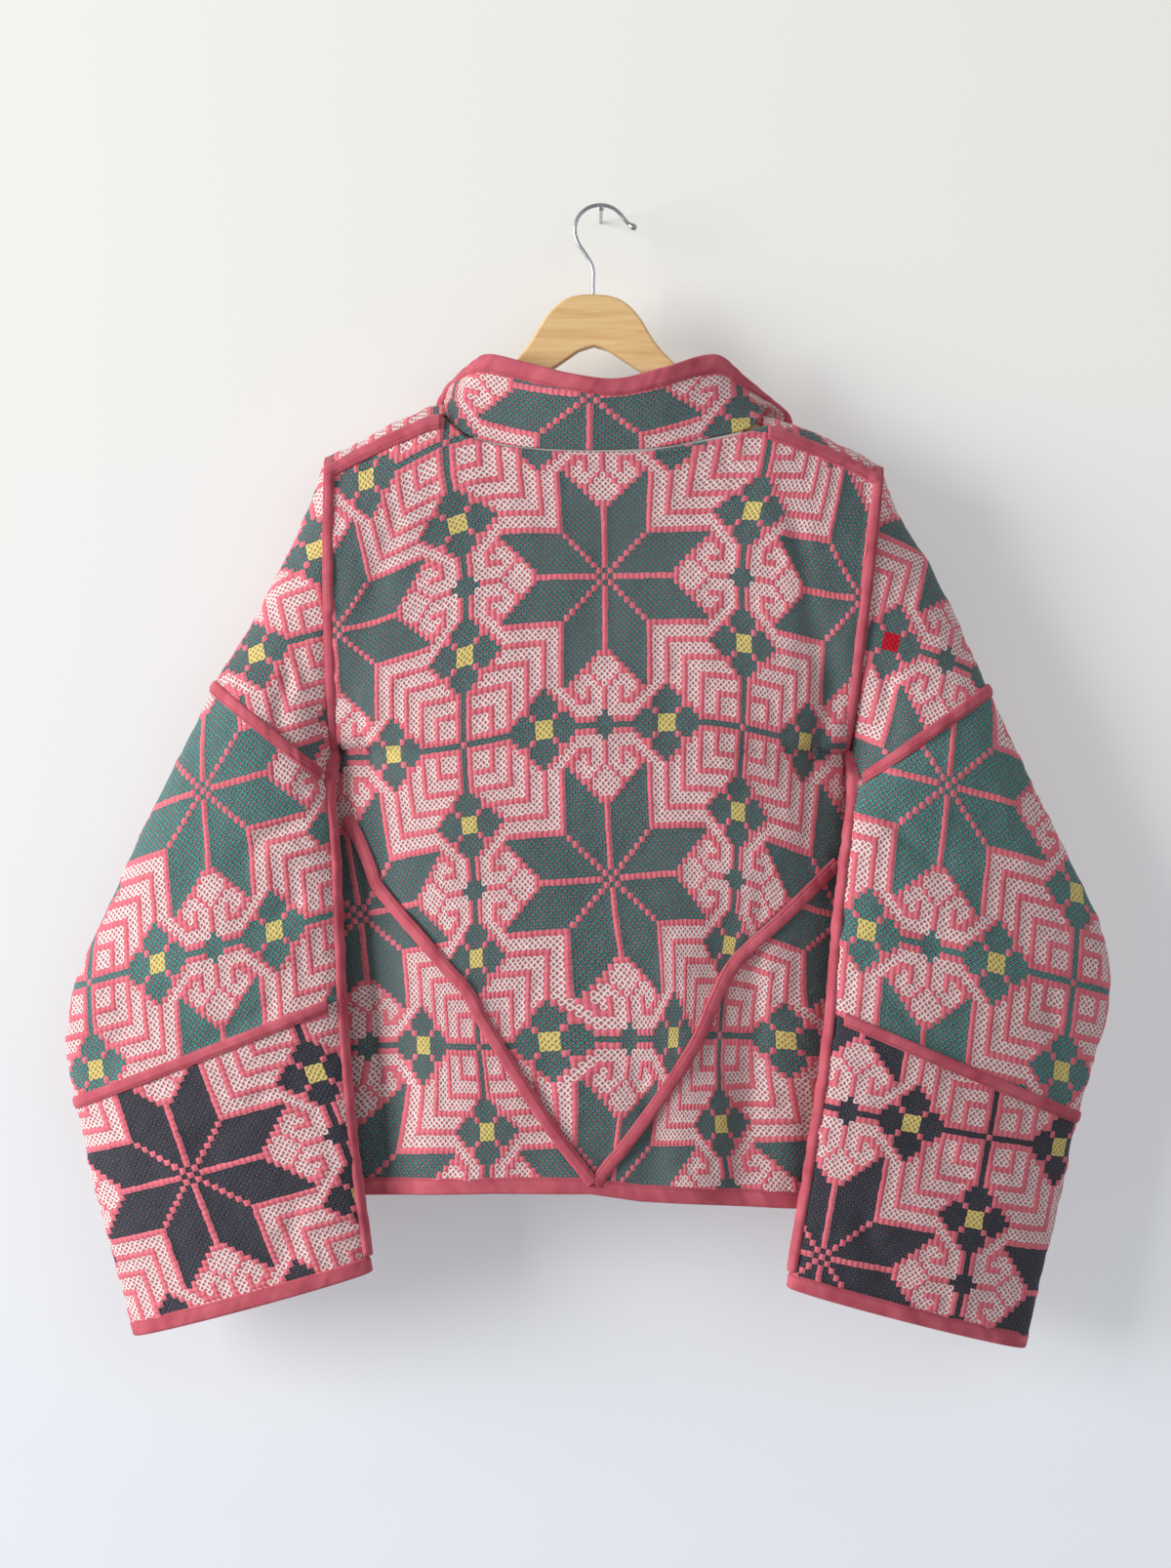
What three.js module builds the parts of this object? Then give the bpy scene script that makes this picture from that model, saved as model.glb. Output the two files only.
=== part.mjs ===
// Quilted bomber jacket hanging by a wooden hanger, seen from its back (-Y), chest towards +Y.
// Millimetres, +Z up. The origin is the inside top of the hanger's hook, where it hangs.
// x grows to the jacket's right sleeve, seen from behind.
import * as THREE from 'three';

// ---------------------------------------------------------------- driving dimensions
const WALL = 3; // quilted cloth, two layers and their stitching
const SEAM_GAP = 0.3; // between two pieces that are sewn together
const TAPE_WIDTH = 10.5; // bias-cut binding tape, as sewn
const TAPE_RISE = 3; // its height over the cloth
const TAPE_LIFT = 0.6; // clearance under it
const MID_Y = -3; // plane of the side seams and of the shoulder's crest
const PUFF = 1.2; // height of the quilting's puffs
const PUFF_PITCH = 62; // their spacing, a quarter of the 250 mm repeat
const BACK_COLUMNS = 26;
const NECK_U = 6 / 13; // column of the neck's corners
const BACK_ROWS = 30;
const TUBE_COLUMNS = 28;
const COLLAR_COLUMNS = 40;
const HANGER_THICK = 12;
const WIRE_RADIUS = 1.65;

const CLOTH = { color: 0xd66473, roughness: 0.92, metalness: 0 };
const TAPE = { color: 0xc8505f, roughness: 0.85, metalness: 0 };
const WOOD = { color: 0xe1b478, roughness: 0.5, metalness: 0 };
const STEEL = { color: 0xb9bcc0, roughness: 0.25, metalness: 1 };

// ---------------------------------------------------------------- small tools
const vec = (x, y, z) => new THREE.Vector3(x, y, z);
const mix = (a, b, t) => a + (b - a) * t;
const clamp = (value, low, high) => Math.min(high, Math.max(low, value));
const smooth = (t) => clamp(t, 0, 1) ** 2 * (3 - 2 * clamp(t, 0, 1));

// Value of a named column at a key, straight between the table's rows.
function read(table, key, at, column) {
  let k = 0;
  while (k < table.length - 2 && table[k + 1][key] < at) k += 1;
  const [a, b] = [table[k], table[k + 1]];
  return mix(a[column], b[column], clamp((at - a[key]) / (b[key] - a[key]), 0, 1));
}

// The same on a smooth curve through evenly numbered rows.
function readSmooth(table, at, column) {
  const last = table.length - 1;
  const k = clamp(Math.floor(at), 0, last - 1);
  const t = at - k;
  const [p0, p1, p2, p3] = [k - 1, k, k + 1, k + 2].map((i) => table[clamp(i, 0, last)][column]);
  const a = 2 * p1 + (p2 - p0) * t;
  const b = (2 * p0 - 5 * p1 + 4 * p2 - p3) * t * t;
  const c = (3 * p1 - p0 - 3 * p2 + p3) * t * t * t;
  return (a + b + c) / 2;
}

const steps = (from, to, count) => Array.from({ length: count + 1 }, (_, i) => mix(from, to, i / count));

// ---------------------------------------------------------------- closed slabs from point grids
// A slab between two grids of points [row][column], outer facing outwards.
// The inner face is coarser where rows or columns of its grid are skipped.
function slab(outer, inner, { closed = false, skipRows = 1, skipColumns = 1 } = {}) {
  const rows = outer.length;
  const columns = outer[0].length;
  const span = closed ? columns : columns - 1;
  const positions = [];
  const faces = [];
  const add = (p) => positions.push(p.x, p.y, p.z) / 3 - 1;
  const top = outer.map((line) => line.map(add));
  const kept = (count, skip) => steps(0, count, Math.ceil(count / skip)).map(Math.round);
  const keepRows = kept(rows - 1, skipRows);
  const keepColumns = closed ? kept(columns, skipColumns).slice(0, -1) : kept(columns - 1, skipColumns);
  const base = new Map();
  for (const j of keepRows) {
    for (const i of keepColumns) base.set(`${j},${i}`, add(inner[j][i]));
  }
  const under = (j, i) => base.get(`${j},${i % columns}`);
  for (let j = 0; j < rows - 1; j += 1) {
    for (let i = 0; i < span; i += 1) {
      const [a, b] = [top[j][i], top[j][(i + 1) % columns]];
      const [c, d] = [top[j + 1][(i + 1) % columns], top[j + 1][i]];
      faces.push(a, b, c, a, c, d);
    }
  }
  const nextColumns = closed ? [...keepColumns, columns] : keepColumns;
  for (let j = 0; j < keepRows.length - 1; j += 1) {
    for (let i = 0; i < nextColumns.length - 1; i += 1) {
      const [a, b] = [under(keepRows[j], nextColumns[i]), under(keepRows[j], nextColumns[i + 1])];
      const [c, d] = [under(keepRows[j + 1], nextColumns[i + 1]), under(keepRows[j + 1], nextColumns[i])];
      faces.push(a, c, b, a, d, c);
    }
  }
  // Both pieces at a seam get the same rim faces, so the far rims are the near ones turned over.
  const rim = (path, turn) => {
    const face = (a, b, c) => faces.push(...(turn ? [a, c, b] : [a, b, c]));
    let from = under(...path[0]);
    for (let k = 0; k < path.length - 1; k += 1) {
      const [j0, i0] = path[k];
      const [j1, i1] = path[k + 1];
      const [o0, o1] = [top[j0][i0 % columns], top[j1][i1 % columns]];
      face(o1, o0, from);
      const to = under(j1, i1);
      if (to !== undefined) {
        face(o1, from, to);
        from = to;
      }
    }
  };
  const low = steps(0, span, span).map((i) => [0, Math.round(i)]);
  rim(low, false);
  rim(low.map(([, i]) => [rows - 1, i]), true);
  if (!closed) {
    const side = steps(0, rows - 1, rows - 1).map((j) => Math.round(j));
    rim(side.map((j) => [j, columns - 1]), false);
    rim(side.map((j) => [j, 0]), true);
  }
  return solid(positions, faces);
}

// Closed geometry with its faces outwards, whichever way the lists of points ran.
function solid(positions, faces) {
  let volume = 0;
  const corner = (k) => vec(positions[3 * k], positions[3 * k + 1], positions[3 * k + 2]);
  for (let k = 0; k < faces.length; k += 3) {
    volume += corner(faces[k]).dot(corner(faces[k + 1]).cross(corner(faces[k + 2])));
  }
  const geometry = new THREE.BufferGeometry();
  geometry.setAttribute('position', new THREE.Float32BufferAttribute(positions, 3));
  geometry.setIndex(volume < 0 ? [...faces].reverse() : faces);
  geometry.computeVertexNormals();
  return geometry;
}

// Points and outward normals of a surface at(u, v), for lists of u and v values.
function sample(surface, us, vs) {
  return vs.map((v) => us.map((u) => surface(u, v)));
}

// Cloth wall: puffed outer face, plain inner face.
function clothWall(grid, options, puff = () => 0) {
  const outer = grid.map((line, j) => line.map(({ p, n }, i) => p.clone().addScaledVector(n, puff(j, i, p))));
  const inner = grid.map((line) => line.map(({ p, n }) => p.clone().addScaledVector(n, -WALL)));
  return slab(outer, inner, options);
}

// Tape lying on a surface: a low rounded band over the grid's points. The grid's rows run across it.
function tapeOn(grid, { closed = false, lift = TAPE_LIFT } = {}) {
  const last = grid.length - 1;
  const crown = (j) => 0.45 + 0.55 * Math.sin((Math.PI * j) / last);
  const raised = ({ p, n }, height) => p.clone().addScaledVector(n, height);
  const outer = grid.map((line, j) => line.map((place) => raised(place, lift + TAPE_RISE * crown(j))));
  const inner = grid.map((line) => line.map((place) => raised(place, lift)));
  return slab(outer, inner, { closed });
}

// The grid turned over its diagonal, so that its rows run along the tape.
function turned(grid) {
  return grid[0].map((_, i) => grid.map((line) => line[i]));
}

// Outward normal from central differences; flip turns it over.
function withNormal(at, u, v, flip, du = 1e-3, dv = 1e-3) {
  const p = at(u, v);
  const a = at(u + du, v).sub(at(u - du, v));
  const b = at(u, v + dv).sub(at(u, v - dv));
  const n = a.cross(b).normalize().multiplyScalar(flip);
  return { p, n };
}

// Quilting: soft puffs on the 250 mm repeat, from the distance along and across the cloth.
const puffAt = (along, across) => {
  const wave = Math.cos((2 * Math.PI * along) / PUFF_PITCH) * Math.cos((2 * Math.PI * across) / PUFF_PITCH);
  return PUFF * (0.5 + 0.5 * wave);
};

// ---------------------------------------------------------------- body tables
// Crest of the shoulders and of the neck's sides.
const CREST = [
  { x: -227, z: -206 },
  { x: -205, z: -194.5 },
  { x: -173, z: -178.5 },
  { x: -141, z: -165 },
  { x: -120, z: -161 },
  { x: 122, z: -166 },
  { x: 147, z: -174.5 },
  { x: 179, z: -186.5 },
  { x: 211, z: -201.5 },
  { x: 229, z: -213 },
];
// Armholes: each lies in an upright plane that leans a little; x at its top and bottom.
const ARMHOLES = {
  left: { side: -1, topX: -226, bottomX: -218.4, topZ: -206, bottomZ: -443.5, half: 36 },
  right: { side: 1, topX: 229, bottomX: 202.6, topZ: -214, bottomZ: -446, half: 36 },
};
// Side seams below the armholes, and the depth of back and front at mid width.
const BODY = [
  { z: -830, left: -224, right: 199, back: 56, front: 30 },
  { z: -700, left: -228, right: 204, back: 58, front: 32 },
  { z: -600, left: -230, right: 209, back: 57, front: 32 },
  { z: -512, left: -228, right: 211, back: 55, front: 31 },
  { z: -487, left: -223, right: 207, back: 54, front: 31 },
  { z: -467, left: -216, right: 201, back: 53, front: 31 },
  { z: -448, left: -213, right: 197.6, back: 52, front: 31 },
  { z: -300, left: -213, right: 197.6, back: 46, front: 29 },
  { z: -150, left: -213, right: 197.6, back: 40, front: 27 },
];
// Lower edge of the body.
const HEM = [
  { x: -240, z: -806 },
  { x: -186, z: -801 },
  { x: -90, z: -797 },
  { x: -9, z: -797 },
  { x: 30, z: -803 },
  { x: 81, z: -806 },
  { x: 160, z: -812 },
  { x: 220, z: -815 },
];
// Seam between the back and the collar.
const NECK_SEAM = [
  { x: -128, z: -174, y: -18 },
  { x: -110, z: -190.5, y: -28 },
  { x: -80, z: -199.5, y: -35 },
  { x: -44, z: -204, y: -39 },
  { x: -5, z: -205, y: -41 },
  { x: 34, z: -205, y: -40 },
  { x: 66, z: -199, y: -36 },
  { x: 108, z: -190.5, y: -28 },
  { x: 134, z: -180, y: -18 },
];
// Front neck line, by columns: distance run from the shoulder seam over the crest and down the front.
const FRONT_NECK = [
  { u: 0, run: 141 },
  { u: 2 / 13, run: 127 },
  { u: 4 / 13, run: 86 },
  { u: 5 / 13, run: 52 },
  { u: 0.42, run: 32 },
  { u: 0.44, run: 18 },
  { u: 0.452, run: 8 },
  { u: NECK_U, run: 0 },
  { u: 1, run: 0 },
];
// Profile over the shoulder, from the back seam to the front: drop below the crest.
const OVER_SHOULDER = [
  { run: 0, y: -18, drop: 10 },
  { run: 9, y: -11, drop: 3 },
  { run: 17, y: -3, drop: 0 },
  { run: 28, y: 8, drop: 3.5 },
  { run: 42, y: 18, drop: 13 },
  { run: 66, y: 25, drop: 35 },
];
// Long soft folds of the body: x at the hem and at the top, depth, half width, reach in z.
const FOLDS = [
  { low: 118, high: 96, depth: -7, half: 26, from: -815, to: -520 },
  { low: 66, high: 60, depth: 3, half: 30, from: -815, to: -560 },
  { low: -168, high: -196, depth: -6, half: 24, from: -815, to: -470 },
  { low: -100, high: -128, depth: 3, half: 34, from: -815, to: -420 },
  { low: 178, high: 186, depth: -4, half: 20, from: -640, to: -250 },
  { low: -30, high: -20, depth: 2.5, half: 40, from: -815, to: -600 },
];

const crestZ = (x) => read(CREST, 'x', x, 'z');
const hemZ = (x) => read(HEM, 'x', x, 'z');

function foldDepth(x, z) {
  let sum = 0;
  for (const fold of FOLDS) {
    const reach = (z - fold.from) / (fold.to - fold.from);
    if (reach < 0 || reach > 1) continue;
    const off = (x - mix(fold.low, fold.high, reach)) / fold.half;
    sum += fold.depth * Math.exp(-off * off) * smooth((1 - reach) * 2.5) * smooth(reach * 6 + 0.5);
  }
  return sum;
}

// Half depth of the armhole at a height, 0 at and below the underarm.
function armholeHalf(hole, z) {
  const middle = (hole.topZ + hole.bottomZ) / 2;
  const reach = (z - middle) / ((hole.topZ - hole.bottomZ) / 2);
  return Math.abs(reach) < 1 ? hole.half * Math.sqrt(1 - reach * reach) : 0;
}

// Edge of the body panels: along the armhole's plane, and below it the side seam.
function sideX(side, z) {
  const hole = ARMHOLES[side];
  if (z < hole.bottomZ) return read(BODY, 'z', z, side);
  const up = (z - hole.bottomZ) / (hole.topZ - hole.bottomZ);
  return mix(hole.bottomX, hole.topX, up) - hole.side * 5 * SEAM_GAP;
}

// Place across the body: u from -1 at the left side seam to 1 at the right one.
function across(u, z) {
  const spread = 0.45 * u + 0.55 * Math.sin((Math.PI / 2) * clamp(u, -1, 1));
  return { x: mix(sideX('left', z), sideX('right', z), (spread + 1) / 2), spread };
}

// Depth of back or front from the side seams' plane.
function bodyDepth(u, z, face) {
  const { x, spread } = across(u, z);
  const hole = spread < 0 ? ARMHOLES.left : ARMHOLES.right;
  const edge = armholeHalf(hole, z);
  const full = read(BODY, 'z', z, face);
  const round = Math.sqrt(Math.max(0, 1 - Math.abs(spread) ** 2.6));
  const fold = face === 'back' ? foldDepth(x, z) : 0.6 * foldDepth(x * 0.9 + 15, z);
  return edge + (full - edge + fold) * round;
}

// Top edge of the back: shoulder seams and the neck seam between them.
function backTop(u) {
  const inNeck = Math.abs(u) < NECK_U - 1e-6;
  let z = -200;
  for (let pass = 0; pass < 4; pass += 1) {
    const { x } = across(u, z);
    z = inNeck ? read(NECK_SEAM, 'x', x, 'z') : crestZ(x) - OVER_SHOULDER[0].drop;
  }
  const { x } = across(u, z);
  return vec(x, inNeck ? read(NECK_SEAM, 'x', x, 'y') : OVER_SHOULDER[0].y, z);
}

// Back: v from 0 at the hem to 1 at the top edge.
function backPoint(u, v) {
  const top = backTop(u);
  const low = hemZ(across(u, -800).x);
  const z = mix(low, top.z, v);
  const x = across(u, z).x;
  const depth = bodyDepth(u, z, 'back');
  const edge = smooth((Math.abs(u) - 0.9) / 0.1);
  const near = 1 - clamp((top.z - z) / 85, 0, 1);
  const blend = (1 - edge) * (1 - Math.sqrt(1 - near * near));
  return vec(x, mix(MID_Y - depth, top.y, blend), z);
}

// Radial direction of an armhole's ellipse, in its plane.
function holeRadial(hole, y, z) {
  const middle = (hole.topZ + hole.bottomZ) / 2;
  const tall = (hole.topZ - hole.bottomZ) / 2;
  const lean = (hole.topX - hole.bottomX) / (hole.topZ - hole.bottomZ);
  const dz = (z - middle) / tall ** 2;
  return vec(dz * lean, (y - MID_Y) / hole.half ** 2, dz).normalize();
}

// Wall direction on a body panel's edges, the same for both of the pieces that meet there.
function edgeNormal(u, p, normal) {
  if (Math.abs(u) < 0.999) return normal;
  const hole = u < 0 ? ARMHOLES.left : ARMHOLES.right;
  const inPlane = holeRadial(hole, p.y, p.z);
  const outward = vec(hole.side, 0, 0);
  return outward.lerp(inPlane, smooth((p.z - hole.bottomZ) / 30)).normalize();
}

const SHOULDER_NORMAL = vec(0, -0.62, 0.78);
const NECK_NORMAL = vec(0, -1, 0.12);

const backColumns = steps(-1, 1, BACK_COLUMNS);
const TAPE_ROW = TAPE_WIDTH / 600;
const TAPE_COLUMN = TAPE_WIDTH / 289;
const SHOULDER_COLUMNS = [0.485, ...steps(7 / 13, 12 / 13, 5), 0.985];
const backRows = [0, TAPE_ROW, ...steps(0.05, 0.955, BACK_ROWS - 4), 1 - TAPE_ROW, 1];

function backSurface(u, v) {
  const { p, n } = withNormal(backPoint, clamp(u, -0.998, 0.998), clamp(v, 0.002, 0.998), 1);
  const point = backPoint(u, v);
  if (v > 0.9999) {
    point.z -= 2 * SEAM_GAP;
    const atNeck = Math.abs(u) < NECK_U - 1e-6;
    return { p: point, n: atNeck ? NECK_NORMAL.clone().normalize() : edgeNormal(u, point, SHOULDER_NORMAL) };
  }
  return { p: point, n: edgeNormal(u, p, n) };
}

// Front: v from 0 at the hem to 1 at the neck line or the shoulder seam.
function frontPoint(u, v) {
  const top = backTop(u);
  const low = hemZ(across(u, -800).x) + 2;
  const ahead = read(FRONT_NECK, 'u', Math.abs(u), 'run');
  const crest = crestZ(top.x);
  const full = OVER_SHOULDER[5].run + crest - OVER_SHOULDER[5].drop - low;
  const run = mix(full, ahead, v);
  const past = run - OVER_SHOULDER[5].run;
  const z = past > 0 ? crest - OVER_SHOULDER[5].drop - past : crest - read(OVER_SHOULDER, 'run', run, 'drop');
  const shoulderY = read(OVER_SHOULDER, 'run', run, 'y');
  const depthY = MID_Y + bodyDepth(u, z, 'front');
  const hole = u < 0 ? ARMHOLES.left : ARMHOLES.right;
  const rimY = MID_Y + (shoulderY < MID_Y ? -1 : 1) * armholeHalf(hole, Math.min(z, hole.topZ - 0.2));
  const inner = mix(depthY, shoulderY, 1 - smooth((past + 20) / 60));
  const edge = past > 0 ? 0 : smooth((Math.abs(u) - 0.9) / 0.1);
  return vec(across(u, z).x, mix(inner, rimY, edge), z);
}

function frontSurface(u, v) {
  const { n } = withNormal(frontPoint, clamp(u, -0.998, 0.998), clamp(v, 0.002, 0.998), -1);
  const p = frontPoint(u, v);
  if (v > 0.9999 && Math.abs(u) > NECK_U - 1e-6) {
    const seam = backPoint(u, 1);
    seam.z += 2 * SEAM_GAP;
    return { p: seam, n: edgeNormal(u, seam, SHOULDER_NORMAL) };
  }
  if (Math.abs(u) > 0.999) {
    p.y += armholeHalf(u < 0 ? ARMHOLES.left : ARMHOLES.right, p.z) > 0 ? 0 : 2 * SEAM_GAP;
  }
  return { p, n: edgeNormal(u, p, n) };
}

// ---------------------------------------------------------------- sleeves
// One row a station: outer fold (outX, outZ, outY), inner seam (inX, inZ, inY), half depth.
const SLEEVES = {
  left: {
    hole: ARMHOLES.left,
    stations: [
      { outX: -226, outZ: -206, outY: -3, inX: -218.4, inZ: -443, inY: -3, half: 36 },
      { outX: -237, outZ: -239, outY: -4, inX: -219.8, inZ: -449, inY: -4, half: 36 },
      { outX: -259, outZ: -290, outY: -6, inX: -221, inZ: -455, inY: -6, half: 34 },
      { outX: -281, outZ: -334, outY: -8, inX: -222, inZ: -461, inY: -14, half: 31 },
      { outX: -316, outZ: -393, outY: -10, inX: -221.5, inZ: -468, inY: -26, half: 28 },
      { outX: -343, outZ: -448, outY: -10, inX: -217, inZ: -494, inY: -40, half: 27 },
      { outX: -376, outZ: -516, outY: -10, inX: -213, inZ: -524, inY: -46, half: 26 },
      { outX: -405, outZ: -578, outY: -10, inX: -211, inZ: -562, inY: -49, half: 26 },
      { outX: -427, outZ: -630, outY: -10, inX: -209, inZ: -600, inY: -50, half: 26 },
      { outX: -436, outZ: -682, outY: -10, inX: -208, inZ: -622, inY: -50, half: 26 },
      { outX: -428, outZ: -732, outY: -10, inX: -207, inZ: -644, inY: -51, half: 26 },
      { outX: -416, outZ: -787, outY: -11, inX: -202, inZ: -716, inY: -53, half: 25 },
      { outX: -399, outZ: -852, outY: -12, inX: -194, inZ: -790, inY: -54, half: 24 },
      { outX: -380, outZ: -919, outY: -14, inX: -185, inZ: -861, inY: -50, half: 22 },
    ],
  },
  right: {
    hole: ARMHOLES.right,
    stations: [
      { outX: 229, outZ: -214, outY: -3, inX: 203.8, inZ: -446, inY: -3, half: 36 },
      { outX: 241, outZ: -246, outY: -4, inX: 205.2, inZ: -452, inY: -4, half: 36 },
      { outX: 261, outZ: -281, outY: -6, inX: 206.4, inZ: -458, inY: -6, half: 34 },
      { outX: 287, outZ: -330, outY: -8, inX: 207.2, inZ: -464, inY: -14, half: 31 },
      { outX: 316, outZ: -396, outY: -10, inX: 206, inZ: -471, inY: -26, half: 28 },
      { outX: 337, outZ: -442, outY: -10, inX: 199.5, inZ: -498, inY: -42, half: 27 },
      { outX: 362, outZ: -494, outY: -10, inX: 194, inZ: -530, inY: -49, half: 26 },
      { outX: 385, outZ: -541, outY: -10, inX: 190, inZ: -562, inY: -53, half: 26 },
      { outX: 408, outZ: -592, outY: -10, inX: 187, inZ: -594, inY: -54, half: 26 },
      { outX: 414, outZ: -650, outY: -10, inX: 184, inZ: -628, inY: -56, half: 26 },
      { outX: 388, outZ: -744, outY: -10, inX: 182, inZ: -654, inY: -58, half: 26 },
      { outX: 377, outZ: -796, outY: -11, inX: 173, inZ: -726, inY: -60, half: 25 },
      { outX: 362, outZ: -856, outY: -12, inX: 161, inZ: -800, inY: -60, half: 24 },
      { outX: 345, outZ: -929, outY: -14, inX: 150, inZ: -873, inY: -54, half: 22 },
    ],
  },
};
const UPPER_RING = 4; // station of the ring under the underarm
const LOWER_RING = 10; // station of the ring over the cuff
const CUFF_END = 13;
// Creases across the sleeve: station, depth, reach along in stations, centre round the tube (0 is the seam).
const SLEEVE_CREASES = [
  { station: 5.2, depth: -4, reach: 0.5, angle: 0.5, wide: 0.9 },
  { station: 6.4, depth: -3, reach: 0.45, angle: 0.6, wide: 0.8 },
  { station: 8.6, depth: -4, reach: 0.5, angle: 0.55, wide: 0.9 },
  { station: 11.4, depth: -2.5, reach: 0.5, angle: 0.9, wide: 0.9 },
];

// Tube point: a is 0 at the inner seam and grows over the back of the sleeve (-Y side).
function sleevePoint(sleeve, a, t) {
  const get = (column) => readSmooth(sleeve.stations, clamp(t, 0, CUFF_END), column);
  const out = vec(get('outX'), get('outY'), get('outZ'));
  const seam = vec(get('inX'), get('inY'), get('inZ'));
  const chord = seam.clone().sub(out);
  const reach = chord.length() / 2;
  const along = chord.normalize();
  const depthWay = vec(0, -1, 0).addScaledVector(along, along.y).normalize();
  const middle = out.clone().add(seam).multiplyScalar(0.5);
  let half = get('half');
  for (const crease of SLEEVE_CREASES) {
    const off = Math.hypot((t - crease.station) / crease.reach, (a - crease.angle) / crease.wide);
    half += crease.depth * Math.exp(-off * off) * (t > UPPER_RING ? 1 : 0);
  }
  return middle.addScaledVector(along, reach * Math.cos(a)).addScaledVector(depthWay, half * Math.sin(a));
}

function sleeveSurface(sleeve, a, t, facing = t) {
  const at = (b, s) => sleevePoint(sleeve, b, s);
  const { n } = withNormal(at, a, clamp(facing, 0.01, CUFF_END - 0.01), -sleeve.hole.side);
  const p = at(a, t);
  return { p, n: t < 1e-6 ? holeRadial(sleeve.hole, p.y, p.z) : n };
}

// Millimetres that one station is long at this place.
function stationLength(sleeve, a, t) {
  const low = clamp(t - 0.05, 0, CUFF_END);
  const high = clamp(t + 0.05, 0, CUFF_END);
  return sleevePoint(sleeve, a, low).distanceTo(sleevePoint(sleeve, a, high)) / (high - low);
}

const TUBE_STEP = (2 * Math.PI) / TUBE_COLUMNS;
const TUBE_ANGLES = steps(0, 2 * Math.PI - TUBE_STEP, TUBE_COLUMNS - 1);

function sleevePiece(sleeve, from, to, rows) {
  const grid = steps(0, 1, rows).map((s) => TUBE_ANGLES.map((a) => {
    const startGap = from > 0 ? SEAM_GAP / 2 / stationLength(sleeve, a, from) : 0;
    const endGap = to < CUFF_END ? SEAM_GAP / 2 / stationLength(sleeve, a, to) : 0;
    const facing = s === 0 || s === 1 ? mix(from, to, s) : undefined;
    return sleeveSurface(sleeve, a, mix(from + startGap, to - endGap, s), facing);
  }));
  const underTape = (i) => i < 4 || i > TUBE_COLUMNS - 3;
  const puff = (j, i, p) => (j < 2 || j > rows - 2 || underTape(i) ? 0 : puffAt(p.z - 0.25 * p.x, p.x));
  return clothWall(grid, { closed: true, skipRows: 2, skipColumns: 2 }, puff);
}

// Ring tape round a sleeve, its ends against the tape on the inner seam.
function ringTape(sleeve, station, shift = 0) {
  const angles = steps(2.15 * TUBE_STEP, (TUBE_COLUMNS - 1.15) * TUBE_STEP, TUBE_COLUMNS - 3);
  const grid = steps(-1, 1, 2).map((side) => angles.map((a) => {
    const half = Math.min(TAPE_WIDTH / 2 / stationLength(sleeve, a, station), 0.45);
    return sleeveSurface(sleeve, a, station + (side + shift) * half);
  }));
  return tapeOn(grid, { lift: TAPE_LIFT + 2 * SEAM_GAP });
}

function armholeTape(sleeve) {
  const grid = steps(0, 1, 2).map((s) => TUBE_ANGLES.map((a) => {
    const reach = Math.min(TAPE_WIDTH / stationLength(sleeve, a, 0.4), 1.1);
    return sleeveSurface(sleeve, a, s * reach);
  }));
  return tapeOn(grid, { closed: true });
}

function cuffTape(sleeve) {
  const grid = steps(0, 1, 2).map((s) => TUBE_ANGLES.map((a) => {
    const reach = TAPE_WIDTH / stationLength(sleeve, a, CUFF_END - 0.1);
    return sleeveSurface(sleeve, a, CUFF_END - reach * (1 - s));
  }));
  return tapeOn(grid, { closed: true });
}

function underSleeveTape(sleeve) {
  const angles = steps(-TUBE_STEP, 2 * TUBE_STEP, 3);
  const end = CUFF_END - (TAPE_WIDTH + 1) / stationLength(sleeve, 0, CUFF_END - 0.1);
  const grid = steps(3.3, end, 22).map((t) => angles.map((a) => sleeveSurface(sleeve, a, t)));
  return tapeOn(turned(grid));
}

// ---------------------------------------------------------------- collar
// From centre back round the left side to the centre front; the right side has its own rows.
const COLLAR = [
  { u: 0, baseX: -12, baseY: 29, baseZ: -272, topX: -14, topY: 36, topZ: -214 },
  { u: 1, baseX: -60, baseY: 29, baseZ: -262, topX: -66, topY: 39, topZ: -207 },
  { u: 2, baseX: -92, baseY: 27, baseZ: -217, topX: -108, topY: 38, topZ: -186 },
  { u: 3, baseX: -113, baseY: 19, baseZ: -175, topX: -134, topY: 30, topZ: -164 },
  { u: 4, baseX: -123, baseY: -3, baseZ: -160, topX: -126, topY: 14, topZ: -144 },
  { u: 5, baseX: -127, baseY: -18, baseZ: -171, topX: -112, topY: -2, topZ: -134 },
  { u: 6, baseX: -110, baseY: -28, baseZ: -190, topX: -94, topY: -18, topZ: -125 },
  { u: 7, baseX: -72, baseY: -36, baseZ: -200.5, topX: -62, topY: -29, topZ: -133 },
  { u: 8, baseX: -30, baseY: -40, baseZ: -204.3, topX: -26, topY: -36, topZ: -143 },
  { u: 9, baseX: 12, baseY: -41, baseZ: -204.6, topX: 12, topY: -37, topZ: -147.5 },
  { u: 10, baseX: 50, baseY: -38, baseZ: -202, topX: 50, topY: -33, topZ: -138 },
  { u: 11, baseX: 88, baseY: -32, baseZ: -194, topX: 92, topY: -18, topZ: -125 },
  { u: 12, baseX: 119, baseY: -24, baseZ: -185, topX: 116, topY: -6, topZ: -140 },
  { u: 13, baseX: 129, baseY: -14, baseZ: -171.5, topX: 137, topY: 9, topZ: -154 },
  { u: 14, baseX: 129, baseY: -1, baseZ: -165, topX: 157, topY: 23, topZ: -171 },
  { u: 15, baseX: 119, baseY: 18, baseZ: -180, topX: 146, topY: 34, topZ: -186 },
  { u: 16, baseX: 96, baseY: 27, baseZ: -222, topX: 112, topY: 39, topZ: -196 },
  { u: 17, baseX: 58, baseY: 29, baseZ: -264, topX: 62, topY: 39, topZ: -212 },
  { u: 18, baseX: 8, baseY: 29, baseZ: -272, topX: 10, topY: 36, topZ: -216 },
];
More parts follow.
